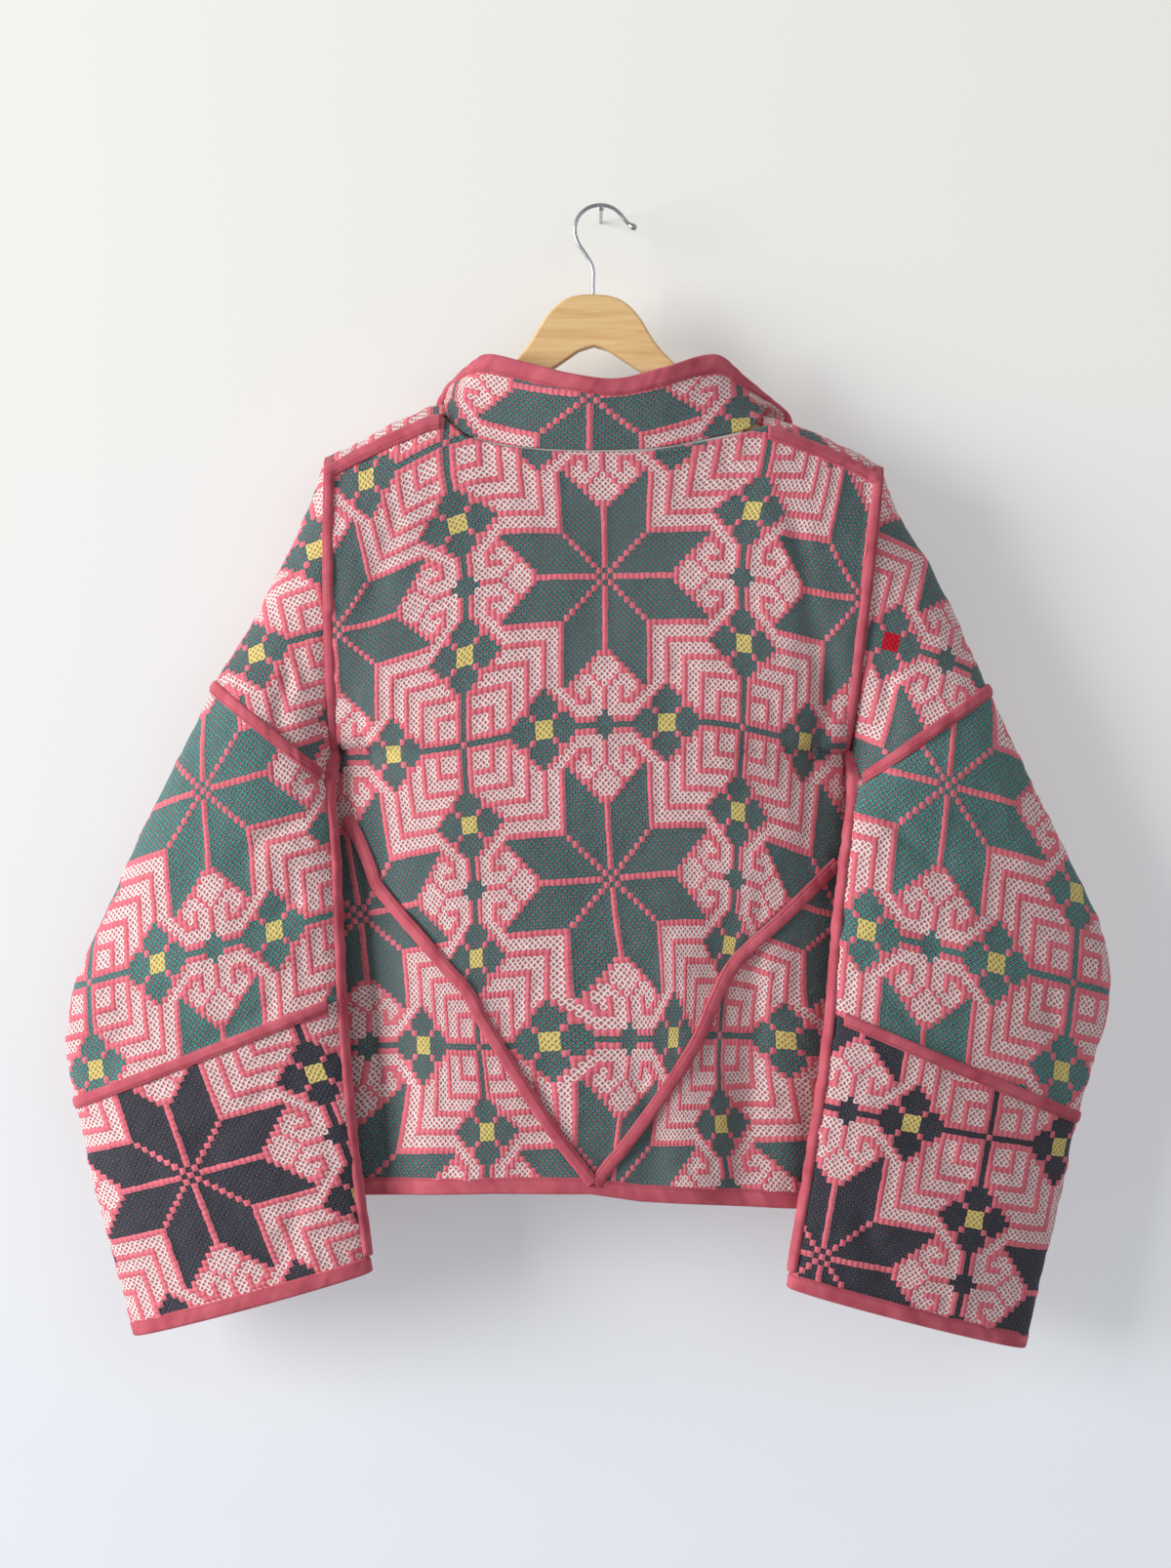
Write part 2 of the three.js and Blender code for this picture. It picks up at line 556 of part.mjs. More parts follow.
const COLLAR_END = COLLAR.length - 1;

function collarPoint(u, v) {
  const get = (column) => readSmooth(COLLAR, clamp(u, 0, COLLAR_END), column);
  const base = vec(get('baseX'), get('baseY'), get('baseZ') + 5 * SEAM_GAP);
  const top = vec(get('topX'), get('topY'), get('topZ'));
  return base.lerp(top, v);
}

function collarSurface(u, v) {
  const { n } = withNormal(collarPoint, clamp(u, 0.01, COLLAR_END - 0.01), clamp(v, 0.01, 0.99), 1);
  return { p: collarPoint(u, v), n };
}

// ---------------------------------------------------------------- slanting tapes on the back
const SLANTS = {
  left: [
    { x: -205, z: -508 },
    { x: -188, z: -529 },
    { x: -169.5, z: -552 },
    { x: -137.6, z: -598 },
    { x: -90.6, z: -671 },
    { x: -44, z: -741 },
    { x: -18, z: -776 },
  ],
  right: [
    { x: 191, z: -536 },
    { x: 168, z: -558 },
    { x: 145, z: -580 },
    { x: 108, z: -614 },
    { x: 92, z: -641 },
    { x: 76.7, z: -676 },
    { x: 49.5, z: -719 },
    { x: 18, z: -762 },
    { x: 6, z: -776 },
  ],
};

// Back cloth at a place given by x and z: u is found by halving.
function backAt(x, z) {
  let low = -1;
  let high = 1;
  for (let pass = 0; pass < 30; pass += 1) {
    const middle = (low + high) / 2;
    if (across(middle, z).x < x) low = middle;
    else high = middle;
  }
  const u = (low + high) / 2;
  const base = hemZ(across(u, -800).x);
  const v = (z - base) / (backTop(u).z - base);
  return backSurface(clamp(u, -0.995, 0.995), clamp(v, 0.003, 0.99));
}

function slantTape(rows, side) {
  const last = rows.length - 1;
  const grid = steps(0, last, last * 3).map((t) => {
    const [x, z] = [readSmooth(rows, t, 'x'), readSmooth(rows, t, 'z')];
    const dx = readSmooth(rows, Math.min(t + 0.05, last), 'x') - readSmooth(rows, Math.max(t - 0.05, 0), 'x');
    const dz = readSmooth(rows, Math.min(t + 0.05, last), 'z') - readSmooth(rows, Math.max(t - 0.05, 0), 'z');
    const size = Math.hypot(dx, dz);
    return steps(-1, 1, 2).map((s) => {
      const off = (side * s * TAPE_WIDTH) / 2 / size;
      return backAt(x - off * dz, z + off * dx);
    });
  });
  return tapeOn(turned(grid), { lift: PUFF + TAPE_LIFT + SEAM_GAP });
}

// ---------------------------------------------------------------- hanger
// Upper and lower edge of the wooden body, from its left end to its right end.
const HANGER_TOP = [
  { x: -212, z: -209.5 },
  { x: -205, z: -203 },
  { x: -173, z: -187.5 },
  { x: -141, z: -174 },
  { x: -122, z: -172.5 },
  { x: -106, z: -160 },
  { x: -93, z: -147 },
  { x: -80, z: -138.5 },
  { x: -70, z: -127 },
  { x: -58, z: -111 },
  { x: -45, z: -90 },
  { x: -32, z: -77.5 },
  { x: -20, z: -73 },
  { x: -6.5, z: -72.2 },
  { x: 7.5, z: -73.5 },
  { x: 20, z: -79 },
  { x: 32, z: -91.5 },
  { x: 44, z: -111 },
  { x: 59, z: -127.5 },
  { x: 83, z: -147 },
  { x: 106, z: -166 },
  { x: 123, z: -177 },
  { x: 147, z: -184 },
  { x: 179, z: -195.5 },
  { x: 207, z: -209 },
  { x: 213, z: -215 },
];
const HANGER_LOW = [
  { x: 211, z: -223 },
  { x: 200, z: -224 },
  { x: 150, z: -202 },
  { x: 80, z: -163 },
  { x: 31, z: -134.5 },
  { x: 6, z: -118 },
  { x: -6, z: -114.5 },
  { x: -18, z: -118.5 },
  { x: -39, z: -133 },
  { x: -77, z: -153.5 },
  { x: -129, z: -184.5 },
  { x: -173, z: -206 },
  { x: -200, z: -218 },
  { x: -210, z: -217 },
];

function hangerBody() {
  const bevel = 2;
  const shape = new THREE.Shape([...HANGER_TOP, ...HANGER_LOW].map(({ x, z }) => new THREE.Vector2(x, z)));
  const geometry = new THREE.ExtrudeGeometry(shape, {
    depth: HANGER_THICK - 2 * bevel,
    bevelEnabled: true,
    bevelThickness: bevel,
    bevelSize: bevel,
    bevelOffset: -bevel,
    bevelSegments: 1,
    steps: 1,
  });
  geometry.rotateX(Math.PI / 2);
  geometry.translate(0, MID_Y + HANGER_THICK / 2 - bevel, 0);
  return geometry;
}

// Wire hook: centre line from the wood to the tip, which ends in a small ball.
const HOOK = [
  { x: -6.6, z: -71.9, radius: 1 },
  { x: -6.6, z: -60, radius: 1 },
  { x: -6.6, z: -52, radius: 1 },
  { x: -8.6, z: -45.5, radius: 1 },
  { x: -13.9, z: -37, radius: 1 },
  { x: -18.8, z: -29.5, radius: 1 },
  { x: -21.4, z: -21.5, radius: 1 },
  { x: -20.8, z: -13, radius: 1 },
  { x: -16.8, z: -5.6, radius: 1 },
  { x: -9.6, z: -0.2, radius: 1 },
  { x: 0, z: 1.65, radius: 1 },
  { x: 9, z: -0.5, radius: 1 },
  { x: 15.5, z: -5.6, radius: 1 },
  { x: 20.2, z: -11.6, radius: 1 },
  { x: 23.2, z: -14.2, radius: 1 },
  { x: 24.4, z: -15, radius: 1.45 },
  { x: 26.4, z: -16.4, radius: 1.75 },
  { x: 28.6, z: -17.9, radius: 1.1 },
];

// Rod round a path in the plane of the hanger, closed by flat ends.
function rod(path, sides = 8) {
  const rings = path.map(({ x, z, radius }, k) => {
    const before = path[Math.max(k - 1, 0)];
    const after = path[Math.min(k + 1, path.length - 1)];
    const along = vec(after.x - before.x, 0, after.z - before.z).normalize();
    const sideways = vec(along.z, 0, -along.x);
    return steps(0, 1, sides).slice(0, -1).map((s) => {
      const turn = 2 * Math.PI * s;
      const way = sideways.clone().multiplyScalar(Math.cos(turn)).add(vec(0, Math.sin(turn), 0));
      return vec(x, MID_Y, z).addScaledVector(way, WIRE_RADIUS * radius);
    });
  });
  const positions = rings.flat().flatMap((p) => [p.x, p.y, p.z]);
  const faces = [];
  for (let k = 0; k < rings.length - 1; k += 1) {
    for (let i = 0; i < sides; i += 1) {
      const [a, b] = [k * sides + i, k * sides + ((i + 1) % sides)];
      faces.push(a, a + sides, b, b, a + sides, b + sides);
    }
  }
  const end = (rings.length - 1) * sides;
  for (let i = 1; i < sides - 1; i += 1) {
    faces.push(0, i, i + 1, end, end + i + 1, end + i);
  }
  return solid(positions, faces);
}

// Nail in the wall that the hook hangs over.
const NAIL = { radius: 1.4, headRadius: 2.6, from: -9, to: 50 };

function nail() {
  const profile = [
    [0, 0],
    [NAIL.headRadius, 0],
    [NAIL.headRadius, 1.5],
    [NAIL.radius, 1.5],
    [NAIL.radius, NAIL.to - NAIL.from],
    [0, NAIL.to - NAIL.from],
  ].map(([r, y]) => new THREE.Vector2(r, y));
  const geometry = new THREE.LatheGeometry(profile, 8);
  geometry.translate(0, NAIL.from, -NAIL.radius - SEAM_GAP);
  return geometry;
}

// ---------------------------------------------------------------- the model
const model = new THREE.Group();
model.name = 'kantha_bomber_jacket_on_hanger';

function put(name, geometry, look) {
  const mesh = new THREE.Mesh(geometry, new THREE.MeshStandardMaterial(look));
  mesh.name = name;
  model.add(mesh);
}

const backGrid = sample(backSurface, backColumns, backRows);
const backPuff = (j, i, p) => {
  const inside = j > 1 && j < backRows.length - 3 && i > 0 && i < BACK_COLUMNS;
  return inside ? puffAt(p.z, p.x) : 0;
};
put('back_panel', clothWall(backGrid, { skipRows: 2, skipColumns: 2 }, backPuff), CLOTH);

const frontRows = [0, TAPE_ROW, ...steps(0.06, 0.82, 14), 0.87, 0.905, 0.93, 0.955, 0.975, 0.988, 1];
const CENTRE_FRONT = 0.012;
const frontColumns = [...steps(1, NECK_U, 7), 0.452, 0.44, 0.42, ...steps(5 / 13, 1 / 13, 4), CENTRE_FRONT];
for (const side of ['left', 'right']) {
  const columns = side === 'left' ? frontColumns.map((u) => -u).reverse() : frontColumns;
  const grid = sample(frontSurface, columns, frontRows);
  put(`front_${side}`, clothWall(grid, { skipColumns: 2 }), CLOTH);
  const sign = side === 'left' ? -1 : 1;
  const hemColumns = columns.filter((u) => Math.abs(u) < 0.99 && Math.abs(u) > 0.06);
  const hem = sample(frontSurface, hemColumns, [0, TAPE_ROW]);
  put(`tape_hem_${side}`, tapeOn(hem), TAPE);
  const edgeColumns = [0, 0.5, 1].map((s) => sign * (CENTRE_FRONT + s * TAPE_COLUMN));
  const edge = sample(frontSurface, edgeColumns, frontRows.map((v) => clamp(v, 0, 0.99)));
  put(`tape_edge_${side}`, tapeOn(turned(edge)), TAPE);
  const seamRows = [1 - TAPE_ROW, 1 - TAPE_ROW / 2, 1];
  const seam = sample(backSurface, SHOULDER_COLUMNS.map((u) => sign * u), seamRows);
  put(`tape_shoulder_${side}`, tapeOn(seam), TAPE);
}

for (const side of ['left', 'right']) {
  const sleeve = SLEEVES[side];
  put(`sleeve_upper_${side}`, sleevePiece(sleeve, 0, UPPER_RING, 6), CLOTH);
  put(`sleeve_mid_${side}`, sleevePiece(sleeve, UPPER_RING, LOWER_RING, 11), CLOTH);
  put(`sleeve_cuff_${side}`, sleevePiece(sleeve, LOWER_RING, CUFF_END, 7), CLOTH);
  put(`tape_armhole_${side}`, armholeTape(sleeve), TAPE);
  put(`tape_under_sleeve_${side}`, underSleeveTape(sleeve), TAPE);
  put(`tape_upper_ring_${side}`, ringTape(sleeve, UPPER_RING), TAPE);
  put(`tape_lower_ring_${side}`, ringTape(sleeve, LOWER_RING), TAPE);
  put(`tape_cuff_${side}`, cuffTape(sleeve), TAPE);
  put(`tape_slant_${side}`, slantTape(SLANTS[side], sleeve.hole.side), TAPE);
}

const collarGrid = sample(collarSurface, steps(0, COLLAR_END, COLLAR_COLUMNS), steps(0, 1, 4));
put('collar', clothWall(collarGrid, {}), CLOTH);
const collarEdge = sample(collarSurface, steps(0.3, COLLAR_END - 0.3, COLLAR_COLUMNS), [0.84, 0.92, 1]);
put('tape_collar', tapeOn(collarEdge), TAPE);
put('tape_hem_back', tapeOn(backGrid.slice(0, 2).map((line) => line.slice(1, -1))), TAPE);

put('hanger_body', hangerBody(), WOOD);
put('hanger_hook', rod(HOOK), STEEL);
put('wall_nail', nail(), STEEL);

export default model;
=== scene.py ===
"""Quilted bomber jacket on a wooden hanger, hung from a nail in a wall.

Lengths are millimetres until mesh_object() turns them into metres. The flat sizes of sheets,
the wall and the lights are given in metres.
The jacket's back faces the camera (-Y); x grows to its right sleeve as seen from behind.
"""
import math
import bpy
import numpy as np
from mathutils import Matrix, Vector


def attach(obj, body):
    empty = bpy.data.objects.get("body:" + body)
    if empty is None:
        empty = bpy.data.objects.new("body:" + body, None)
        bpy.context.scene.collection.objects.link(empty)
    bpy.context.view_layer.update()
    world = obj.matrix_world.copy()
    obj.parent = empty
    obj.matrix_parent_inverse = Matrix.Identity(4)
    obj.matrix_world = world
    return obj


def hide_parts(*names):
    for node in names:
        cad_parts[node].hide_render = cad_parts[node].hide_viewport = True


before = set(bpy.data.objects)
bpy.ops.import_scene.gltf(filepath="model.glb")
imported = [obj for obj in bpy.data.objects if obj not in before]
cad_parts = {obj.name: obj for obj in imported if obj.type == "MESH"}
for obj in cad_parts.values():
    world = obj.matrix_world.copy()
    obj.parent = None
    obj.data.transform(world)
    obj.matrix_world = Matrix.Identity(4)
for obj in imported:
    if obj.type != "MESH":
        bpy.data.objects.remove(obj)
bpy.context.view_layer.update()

# ------------------------------------------------------------------ driving dimensions
MM = 0.001
WALL = 2.4            # thickness of the quilted cloth's shell
SEAM_GAP = 1.5        # between a body panel and what is sewn to its edge
MID_Y = -3.0          # plane of the side seams
NECK_U = 6 / 13       # the neck's corners, on the way from middle to side
CENTRE_U = 0.012      # the fronts' centre edges
COLLAR_MIDDLE = 8.85  # the collar's middle, in stations from its front end
TAPE_WIDTH = 10.5     # bias-cut tape as sewn
PLAIN_PUFF = 1.15     # how far plain cloth puffs up between the stitched areas
COARSE = 4            # inner faces have every fourth row and column
PITCH = 2.2           # spacing of the outer faces' points
FRONT_PITCH = 3.4     # the same on the fronts, which the view doesn't show
EYE = (-12.8, -2200.0, -472.4)
VIEW = (1200, 1607)   # the view's own units, each UNIT wide in the plane through the origin
UNIT = 0.8
WALL_Y = 50.0         # the wall's face, at the nail's end
TILE = 50             # cells in one repeat of the pattern
FLOWER = 11           # cells from a star's column to a flower's
TROUGH, RIDGE = 1.8, 1.3   # factors on the depths and heights in the tables of creases
HEM_Z = -800.0        # height at which the hem's places are looked up
STEP = 1e-3           # way to the neighbouring points that give a normal
STITCH_ROW = 0.66     # the sewn line, from the tape's middle to its edge
BAND_ROWS = 13        # points across an applied tape
ARMHOLE_TAPE = 9.5    # width of the armhole's tape
UNDERARM_Z = -459.0   # where the under-sleeve tape bunches, and how far
UNDERARM_BUNCH = 5.2
# The wall's glow is painted light, which lightens the shadows on it.
WALL_PAINTED_LIGHT = 0.28      # strength of the wall's own light
SENSOR = 24.0         # height of the camera's sensor
FULL_TURN = 2 * math.pi
SIDES = ("left", "right")


# ------------------------------------------------------------------ small tools
def smooth(t):
    t = np.clip(t, 0, 1)
    return t * t * (3 - 2 * t)


def mix(a, b, t):
    return a + (b - a) * t


def unit(v):
    return v / np.maximum(np.linalg.norm(v, axis=-1, keepdims=True), 1e-9)


def read(rows, at, column=1):
    """Value of a column at a key in column 0, straight between the rows."""
    rows = np.asarray(rows, float)
    return np.interp(at, rows[:, 0], rows[:, column])


def read_smooth(rows, at, column):
    """Value of a column on a smooth curve through evenly numbered rows."""
    values = np.asarray(rows, float)[:, column]
    last = len(values) - 1
    at = np.asarray(at, float)
    k = np.clip(np.floor(at), 0, last - 1).astype(int)
    t = at - k
    p0, p1, p2, p3 = (values[np.clip(k + i, 0, last)] for i in (-1, 0, 1, 2))
    return (2 * p1 + (p2 - p0) * t + (2 * p0 - 5 * p1 + 4 * p2 - p3) * t**2
            + (3 * p1 - p0 - 3 * p2 + p3) * t**3) / 2


def lengths(line):
    """Distance run along a line of points, or along each row of a grid of them."""
    step = np.diff(line, axis=-2, prepend=line[..., :1, :])
    return np.cumsum(np.linalg.norm(step, axis=-1), axis=-1)


def vec(x, y, z):
    return np.stack(np.broadcast_arrays(x, y, z), axis=-1).astype(float)


def noise(x, z, size, seed):
    """Smooth random height between -1 and 1 on a lattice of the given spacing."""
    x, z = np.asarray(x) / size + seed * 7.31, np.asarray(z) / size + seed * 3.77
    i, j = np.floor(x), np.floor(z)
    tx, tz = smooth(x - i), smooth(z - j)

    def corner(a, b):
        value = np.sin(a * 127.1 + b * 311.7 + seed * 74.7) * 43758.5453
        return 2 * (value - np.floor(value)) - 1

    low = mix(corner(i, j), corner(i + 1, j), tx)
    high = mix(corner(i, j + 1), corner(i + 1, j + 1), tx)
    return mix(low, high, tz)


def on_plane(p):
    """Where the eye sees a point: x and z in the upright plane through the origin."""
    scale = -EYE[1] / (p[..., 1] - EYE[1])
    return (EYE[0] + (p[..., 0] - EYE[0]) * scale, EYE[2] + (p[..., 2] - EYE[2]) * scale)


def seen(px, py):
    """x and z in the same plane of a place in the view."""
    return EYE[0] + (px - VIEW[0] / 2) * UNIT, EYE[2] - (py - VIEW[1] / 2) * UNIT


# ------------------------------------------------------------------ the stitched pattern
# One repeat is 50 by 50 cells of about 5 mm. Cells are numbered from a star's centre and folded
# to 0 <= u <= v <= 25. A rule is a colour and the ranges that hold it; q is |u - FLOWER|.
WHITE, GREEN, YELLOW = 1, 2, 3
RULES = [
    (GREEN, {"u": (1, 7), "v-u": (1, 11)}),            # the star's petals
    (GREEN, {"u": (0, 0), "v": (1, 1)}),
    (GREEN, {"u": (2, 4), "v": (25, 25)}),             # lines between the stars' squares
    (GREEN, {"u": (18, 24), "v": (25, 25)}),
    (GREEN, {"u": (0, 1), "v": (24, 25)}),
    (GREEN, {"u": (0, 0), "v": (23, 23)}),
    (GREEN, {"q": (0, 0), "v": (19, 19)}),             # four-petalled flower on the line
    (GREEN, {"q": (0, 1), "v": (20, 20)}),
    (GREEN, {"q": (0, 2), "v": (21, 22)}),
    (GREEN, {"q": (0, 1), "v": (23, 23)}),
    (GREEN, {"q": (2, 2), "v": (24, 25)}),
    (GREEN, {"q": (3, 4), "v": (23, 25)}),
    (GREEN, {"q": (5, 5), "v": (24, 25)}),
    (GREEN, {"q": (6, 6), "v": (25, 25)}),
    (YELLOW, {"q": (0, 1), "v": (24, 25)}),
    (WHITE, {"u": (0, 1), "v": (14, 17)}),             # bud between two petals
    (WHITE, {"u": (2, 2), "v": (15, 16)}),
    (WHITE, {"u": (0, 0), "v": (18, 18)}),
    (WHITE, {"u": (1, 2), "v": (19, 23)}),             # scroll
    (WHITE, {"u": (2, 5), "v": (18, 18)}),
    (WHITE, {"u": (3, 4), "v": (17, 17)}),
    (WHITE, {"u": (4, 5), "v": (19, 19)}),
    (WHITE, {"u": (4, 4), "v": (20, 20)}),
    (WHITE, {"u": (3, 5), "v": (22, 23)}),
    (WHITE, {"u": (5, 10), "v": (18, 22), "u+v": (27, 28)}),
    (WHITE, {"u": (9, 10), "v": (9, 18)}),             # nested angles round the corner
    (WHITE, {"u": (12, 13), "v-u": (0, 6)}),
    (WHITE, {"u": (15, 16), "v-u": (0, 6)}),
    (WHITE, {"u": (18, 19), "v": (18, 23)}),
    (WHITE, {"u": (21, 23), "v": (21, 23)}),
]


def folded(cell):
    return np.abs((np.floor(cell + 0.5) + TILE / 2) % TILE - TILE / 2)


def pattern(cu, cv):
    """Colour number of each place, from its cell coordinates."""
    a, b = folded(cu), folded(cv)
    u, v = np.minimum(a, b), np.maximum(a, b)
    measures = {"u": u, "v": v, "v-u": v - u, "u+v": u + v, "q": np.abs(u - FLOWER)}
    result = np.zeros(np.shape(u), int)
    for colour, ranges in RULES:
        hit = np.ones(np.shape(u), bool)
        for key, (low, high) in ranges.items():
            hit &= (measures[key] >= low) & (measures[key] <= high)
        result[hit] = colour
    return result


def puffs(cu, cv):
    """Share of plain cloth close to each place, 0 to 1: what puffs up."""
    total = 0
    offsets = (-0.5, 0, 0.5)
    for du in offsets:
        for dv in offsets:
            total = total + (pattern(cu + du, cv + dv) == 0)
    return total / len(offsets) ** 2


def bent_chart(marks):
    """Cell coordinates as a function of a place in the plane: a flat map through the marks.

    Each mark is four numbers: a place in the view and the cell that lies there.
    """
    marks = np.array(marks, float)
    places, cells = np.column_stack(seen(*marks[:, :2].T)), marks[:, 2:]
    base = np.column_stack([np.ones(len(places)), places / 100])
    flat = np.linalg.lstsq(base, cells, rcond=None)[0]
    reach = 85.0
    apart = np.linalg.norm(places[:, None] - places[None], axis=2) / reach
    bend = np.linalg.solve(np.exp(-apart**2) + 0.05 * np.eye(len(places)), cells - base @ flat)

    def chart(x, z):
        result = flat[0] + np.multiply.outer(x / 100, flat[1])
        result = result + np.multiply.outer(z / 100, flat[2])
        for (px, pz), pull in zip(places, bend):
            near = np.exp(-((x - px) ** 2 + (z - pz) ** 2) / reach**2)
            result = result + np.multiply.outer(near, pull)
        return result[..., 0], result[..., 1]

    return chart


def flat_chart(place, cell, along_u, along_v):
    """The same from one place and the steps of one cell each way, all in the view's units."""
    x0, z0 = seen(*place)
    steps = UNIT * np.array([[along_u[0], along_v[0]], [-along_u[1], -along_v[1]]])
    back = np.linalg.inv(steps)

    def chart(x, z):
        dx, dz = x - x0, z - z0
        return (cell[0] + back[0, 0] * dx + back[0, 1] * dz,
                cell[1] + back[1, 0] * dx + back[1, 1] * dz)

    return chart


BACK_MARKS = [
    (620, 590, 0, 0), (627, 900, 0, 50), (343, 647, -50, 0), (369, 938, -50, 50),
    (884, 614, 50, 0), (863, 940, 50, 50), (456, 453, -25, -25), (792, 439, 25, -25),
    (475, 765, -25, 25), (762, 745, 25, 25), (490, 1075, -25, 75), (733, 1060, 25, 75),
    (469, 536, -25, -11), (476, 672, -25, 11), (481, 845, -25, 39), (488, 982, -25, 61),
    (558, 747, -11, 25), (683, 740, 11, 25), (771, 523, 25, -11), (763, 659, 25, 11),
    (757, 831, 25, 39), (748, 968, 25, 61), (403, 773, -39, 25), (825, 762, 39, 25),
    (374, 494, -39, -25), (436, 1070, -39, 75), (562, 1067, -11, 75), (694, 1064, 11, 75),
    (807, 1067, 39, 75), (500, 1160, -25, 89), (738, 1152, 25, 89), (628, 1222, 0, 100),
]
COLLAR_MARKS = [
    (605, 404, 0, 0), (535, 395, -11, 0), (680, 395, 12, 0), (555, 443, -7, 7), (652, 443, 7, 7),
    (494, 428, -18, 7), (715, 423, 18, 7), (760, 436, 25, 11), (604, 460, 0, 10.5),
    (452, 436, -25, 11),
]
# Each sleeve piece: a place, the cell there, and the steps of one cell.
SLEEVE_CHARTS = {
    ("left", "upper"): flat_chart((343, 645), (25, 25), (5.9, -1.6), (1.5, 5.9)),
    ("left", "mid"): flat_chart((207, 810), (0, 0), (5.4, -1.5), (0.52, 6.44)),
    ("left", "cuff"): flat_chart((196, 1204), (0, 0), (5.94, -1.56), (2.14, 5.73)),
    ("right", "upper"): flat_chart((972.6, 675.5), (0, 25), (5.4, 1.6), (-1.5, 5.9)),
    ("right", "mid"): flat_chart((972, 805), (0, 0), (5.9, 1.5), (-0.64, 6.62)),
    ("right", "cuff"): flat_chart((845, 1291), (0, 0), (5.67, 1.0), (-1.1, 6.0)),
}
RED_CELL = (-11, 25)  # one flower on the right upper sleeve is red
CELL, FRONT_CELL = 5.0, 4.8   # a cell on the pieces without marks, and its width on the fronts


# ------------------------------------------------------------------ body
# Crest of the shoulders: x, z.
CREST = [(-227, -206), (-205, -194.5), (-173, -178.5), (-141, -165), (-120, -161), (122, -166),
         (147, -174.5), (179, -186.5), (211, -201.5), (229, -213)]
# Armholes: side of the body, x and z at the top and bottom, half depth.
HOLES = {
    "left": dict(side=-1, top_x=-226.0, low_x=-218.4, top_z=-206.0, low_z=-443.5, half=36.0),
    "right": dict(side=1, top_x=229.0, low_x=202.6, top_z=-214.0, low_z=-446.0, half=36.0),
}
# z, x of the left and right side seam, depth of the back and of the front.
BODY = [(-830, -224, 199, 56, 30), (-700, -228, 204, 58, 32), (-600, -230, 209, 57, 32),
        (-512, -228, 211, 55, 31), (-487, -223, 207, 54, 31), (-467, -216, 201, 53, 31),
        (-448, -213, 197.6, 52, 31), (-300, -213, 197.6, 46, 29), (-150, -213, 197.6, 40, 27)]
SIDE_COLUMN = {"left": 1, "right": 2}
DEPTH_COLUMN = {"back": 3, "front": 4}
# Hem of the back: x, z.
HEM = [(-240, -806), (-186, -801), (-90, -797), (-9, -797), (30, -803), (81, -806), (160, -812),
       (220, -815)]
# The neck seam of the back: x, z, y.
NECK_SEAM = [(-128, -174, -18), (-110, -190.5, -28), (-80, -199.5, -35), (-44, -204, -39),
             (-5, -205, -41), (34, -205, -40), (66, -199, -36), (108, -190.5, -28),
             (134, -180, -18)]
# u, and the run over the shoulder at which the front's neck edge lies.
FRONT_NECK = [(0, 141), (2 / 13, 127), (4 / 13, 86), (5 / 13, 52), (0.42, 32), (0.44, 18),
              (0.452, 8), (NECK_U, 0), (1, 0)]
# Run from the back seam over the shoulder, y, drop below the crest.
OVER_SHOULDER = [(0, -18, 10), (9, -11, 3), (17, -3, 0), (28, 8, 3.5), (42, 18, 13), (66, 25, 35)]
LAST_RUN, LAST_DROP = OVER_SHOULDER[-1][0], OVER_SHOULDER[-1][2]
# Long folds: x at the hem and at the top, depth, half width, z from and to.
FOLDS = [(118, 96, -7, 26, -815, -520), (66, 60, 3, 30, -815, -560),
         (-168, -196, -6, 24, -815, -470), (-100, -128, 3, 34, -815, -420),
         (178, 186, -4, 20, -640, -250), (-30, -20, 2.5, 40, -815, -600)]
# Soft troughs and ridges of the back: two ends, depth, half width.
BACK_CREASES = [
    ((128, -560), (112, -800), -2.6, 9), ((96, -640), (88, -800), 1.6, 10),
    ((-196, -560), (-176, -790), -2.2, 9), ((-150, -640), (-132, -790), 1.5, 12),
    ((150, -250), (188, -420), -2.2, 10), ((120, -235), (176, -330), 1.4, 9),
    ((-160, -240), (-200, -400), -1.8, 11), ((168, -470), (188, -380), -2.4, 8),
    ((-186, -470), (-206, -390), -2.0, 8), ((20, -260), (-30, -420), -1.1, 22),
    ((-60, -520), (40, -700), 1.2, 26), ((30, -700), (44, -800), -1.6, 12),
    ((-40, -690), (-60, -800), -1.3, 13), ((70, -300), (96, -470), 1.2, 18),
]
# The same on the right front; the left one has them mirrored.
FRONT_CREASES = [
    ((60, -320), (70, -560), -1.6, 14), ((120, -500), (110, -780), 1.8, 18),
    ((170, -300), (180, -470), -2.0, 11), ((30, -560), (44, -780), -1.5, 12),
]


def fold_depth(x, z):
    """How far the long folds stand out from the body."""
    total = 0
    for low, high, depth, half, start, end in FOLDS:
        reach = (z - start) / (end - start)
        inside = (reach >= 0) & (reach <= 1)
        off = (x - mix(low, high, reach)) / half
        ends = smooth((1 - reach) * 2.5) * smooth(reach * 6 + 0.5)
        total = total + np.where(inside, depth * np.exp(-off**2) * ends, 0)
    return total


def creases(p, rows, seed):
    """Height of troughs and ridges, each a soft uneven line between two places."""
    x, z, total = p[..., 0], p[..., 2], 0
    for k, ((x0, z0), (x1, z1), depth, half) in enumerate(rows):
        size = math.hypot(x1 - x0, z1 - z0)
        dx, dz = (x1 - x0) / size, (z1 - z0) / size
        along = ((x - x0) * dx + (z - z0) * dz) / size
        wander = 0.35 * half * noise(along * size, 0 * along, 45, seed + k)
        off = ((x - x0) * dz - (z - z0) * dx + wander) / (half * (0.75 + 0.5 * smooth(along)))
        ends = smooth(along * 3.2 + 0.35) * smooth((1 - along) * 3.2 + 0.35)
        uneven = 0.8 + 0.3 * noise(along * size, 0 * along + 9, 30, seed + k + 3)
        total = total + depth * (TROUGH if depth < 0 else RIDGE) * np.exp(-off**2) * ends * uneven
    return total


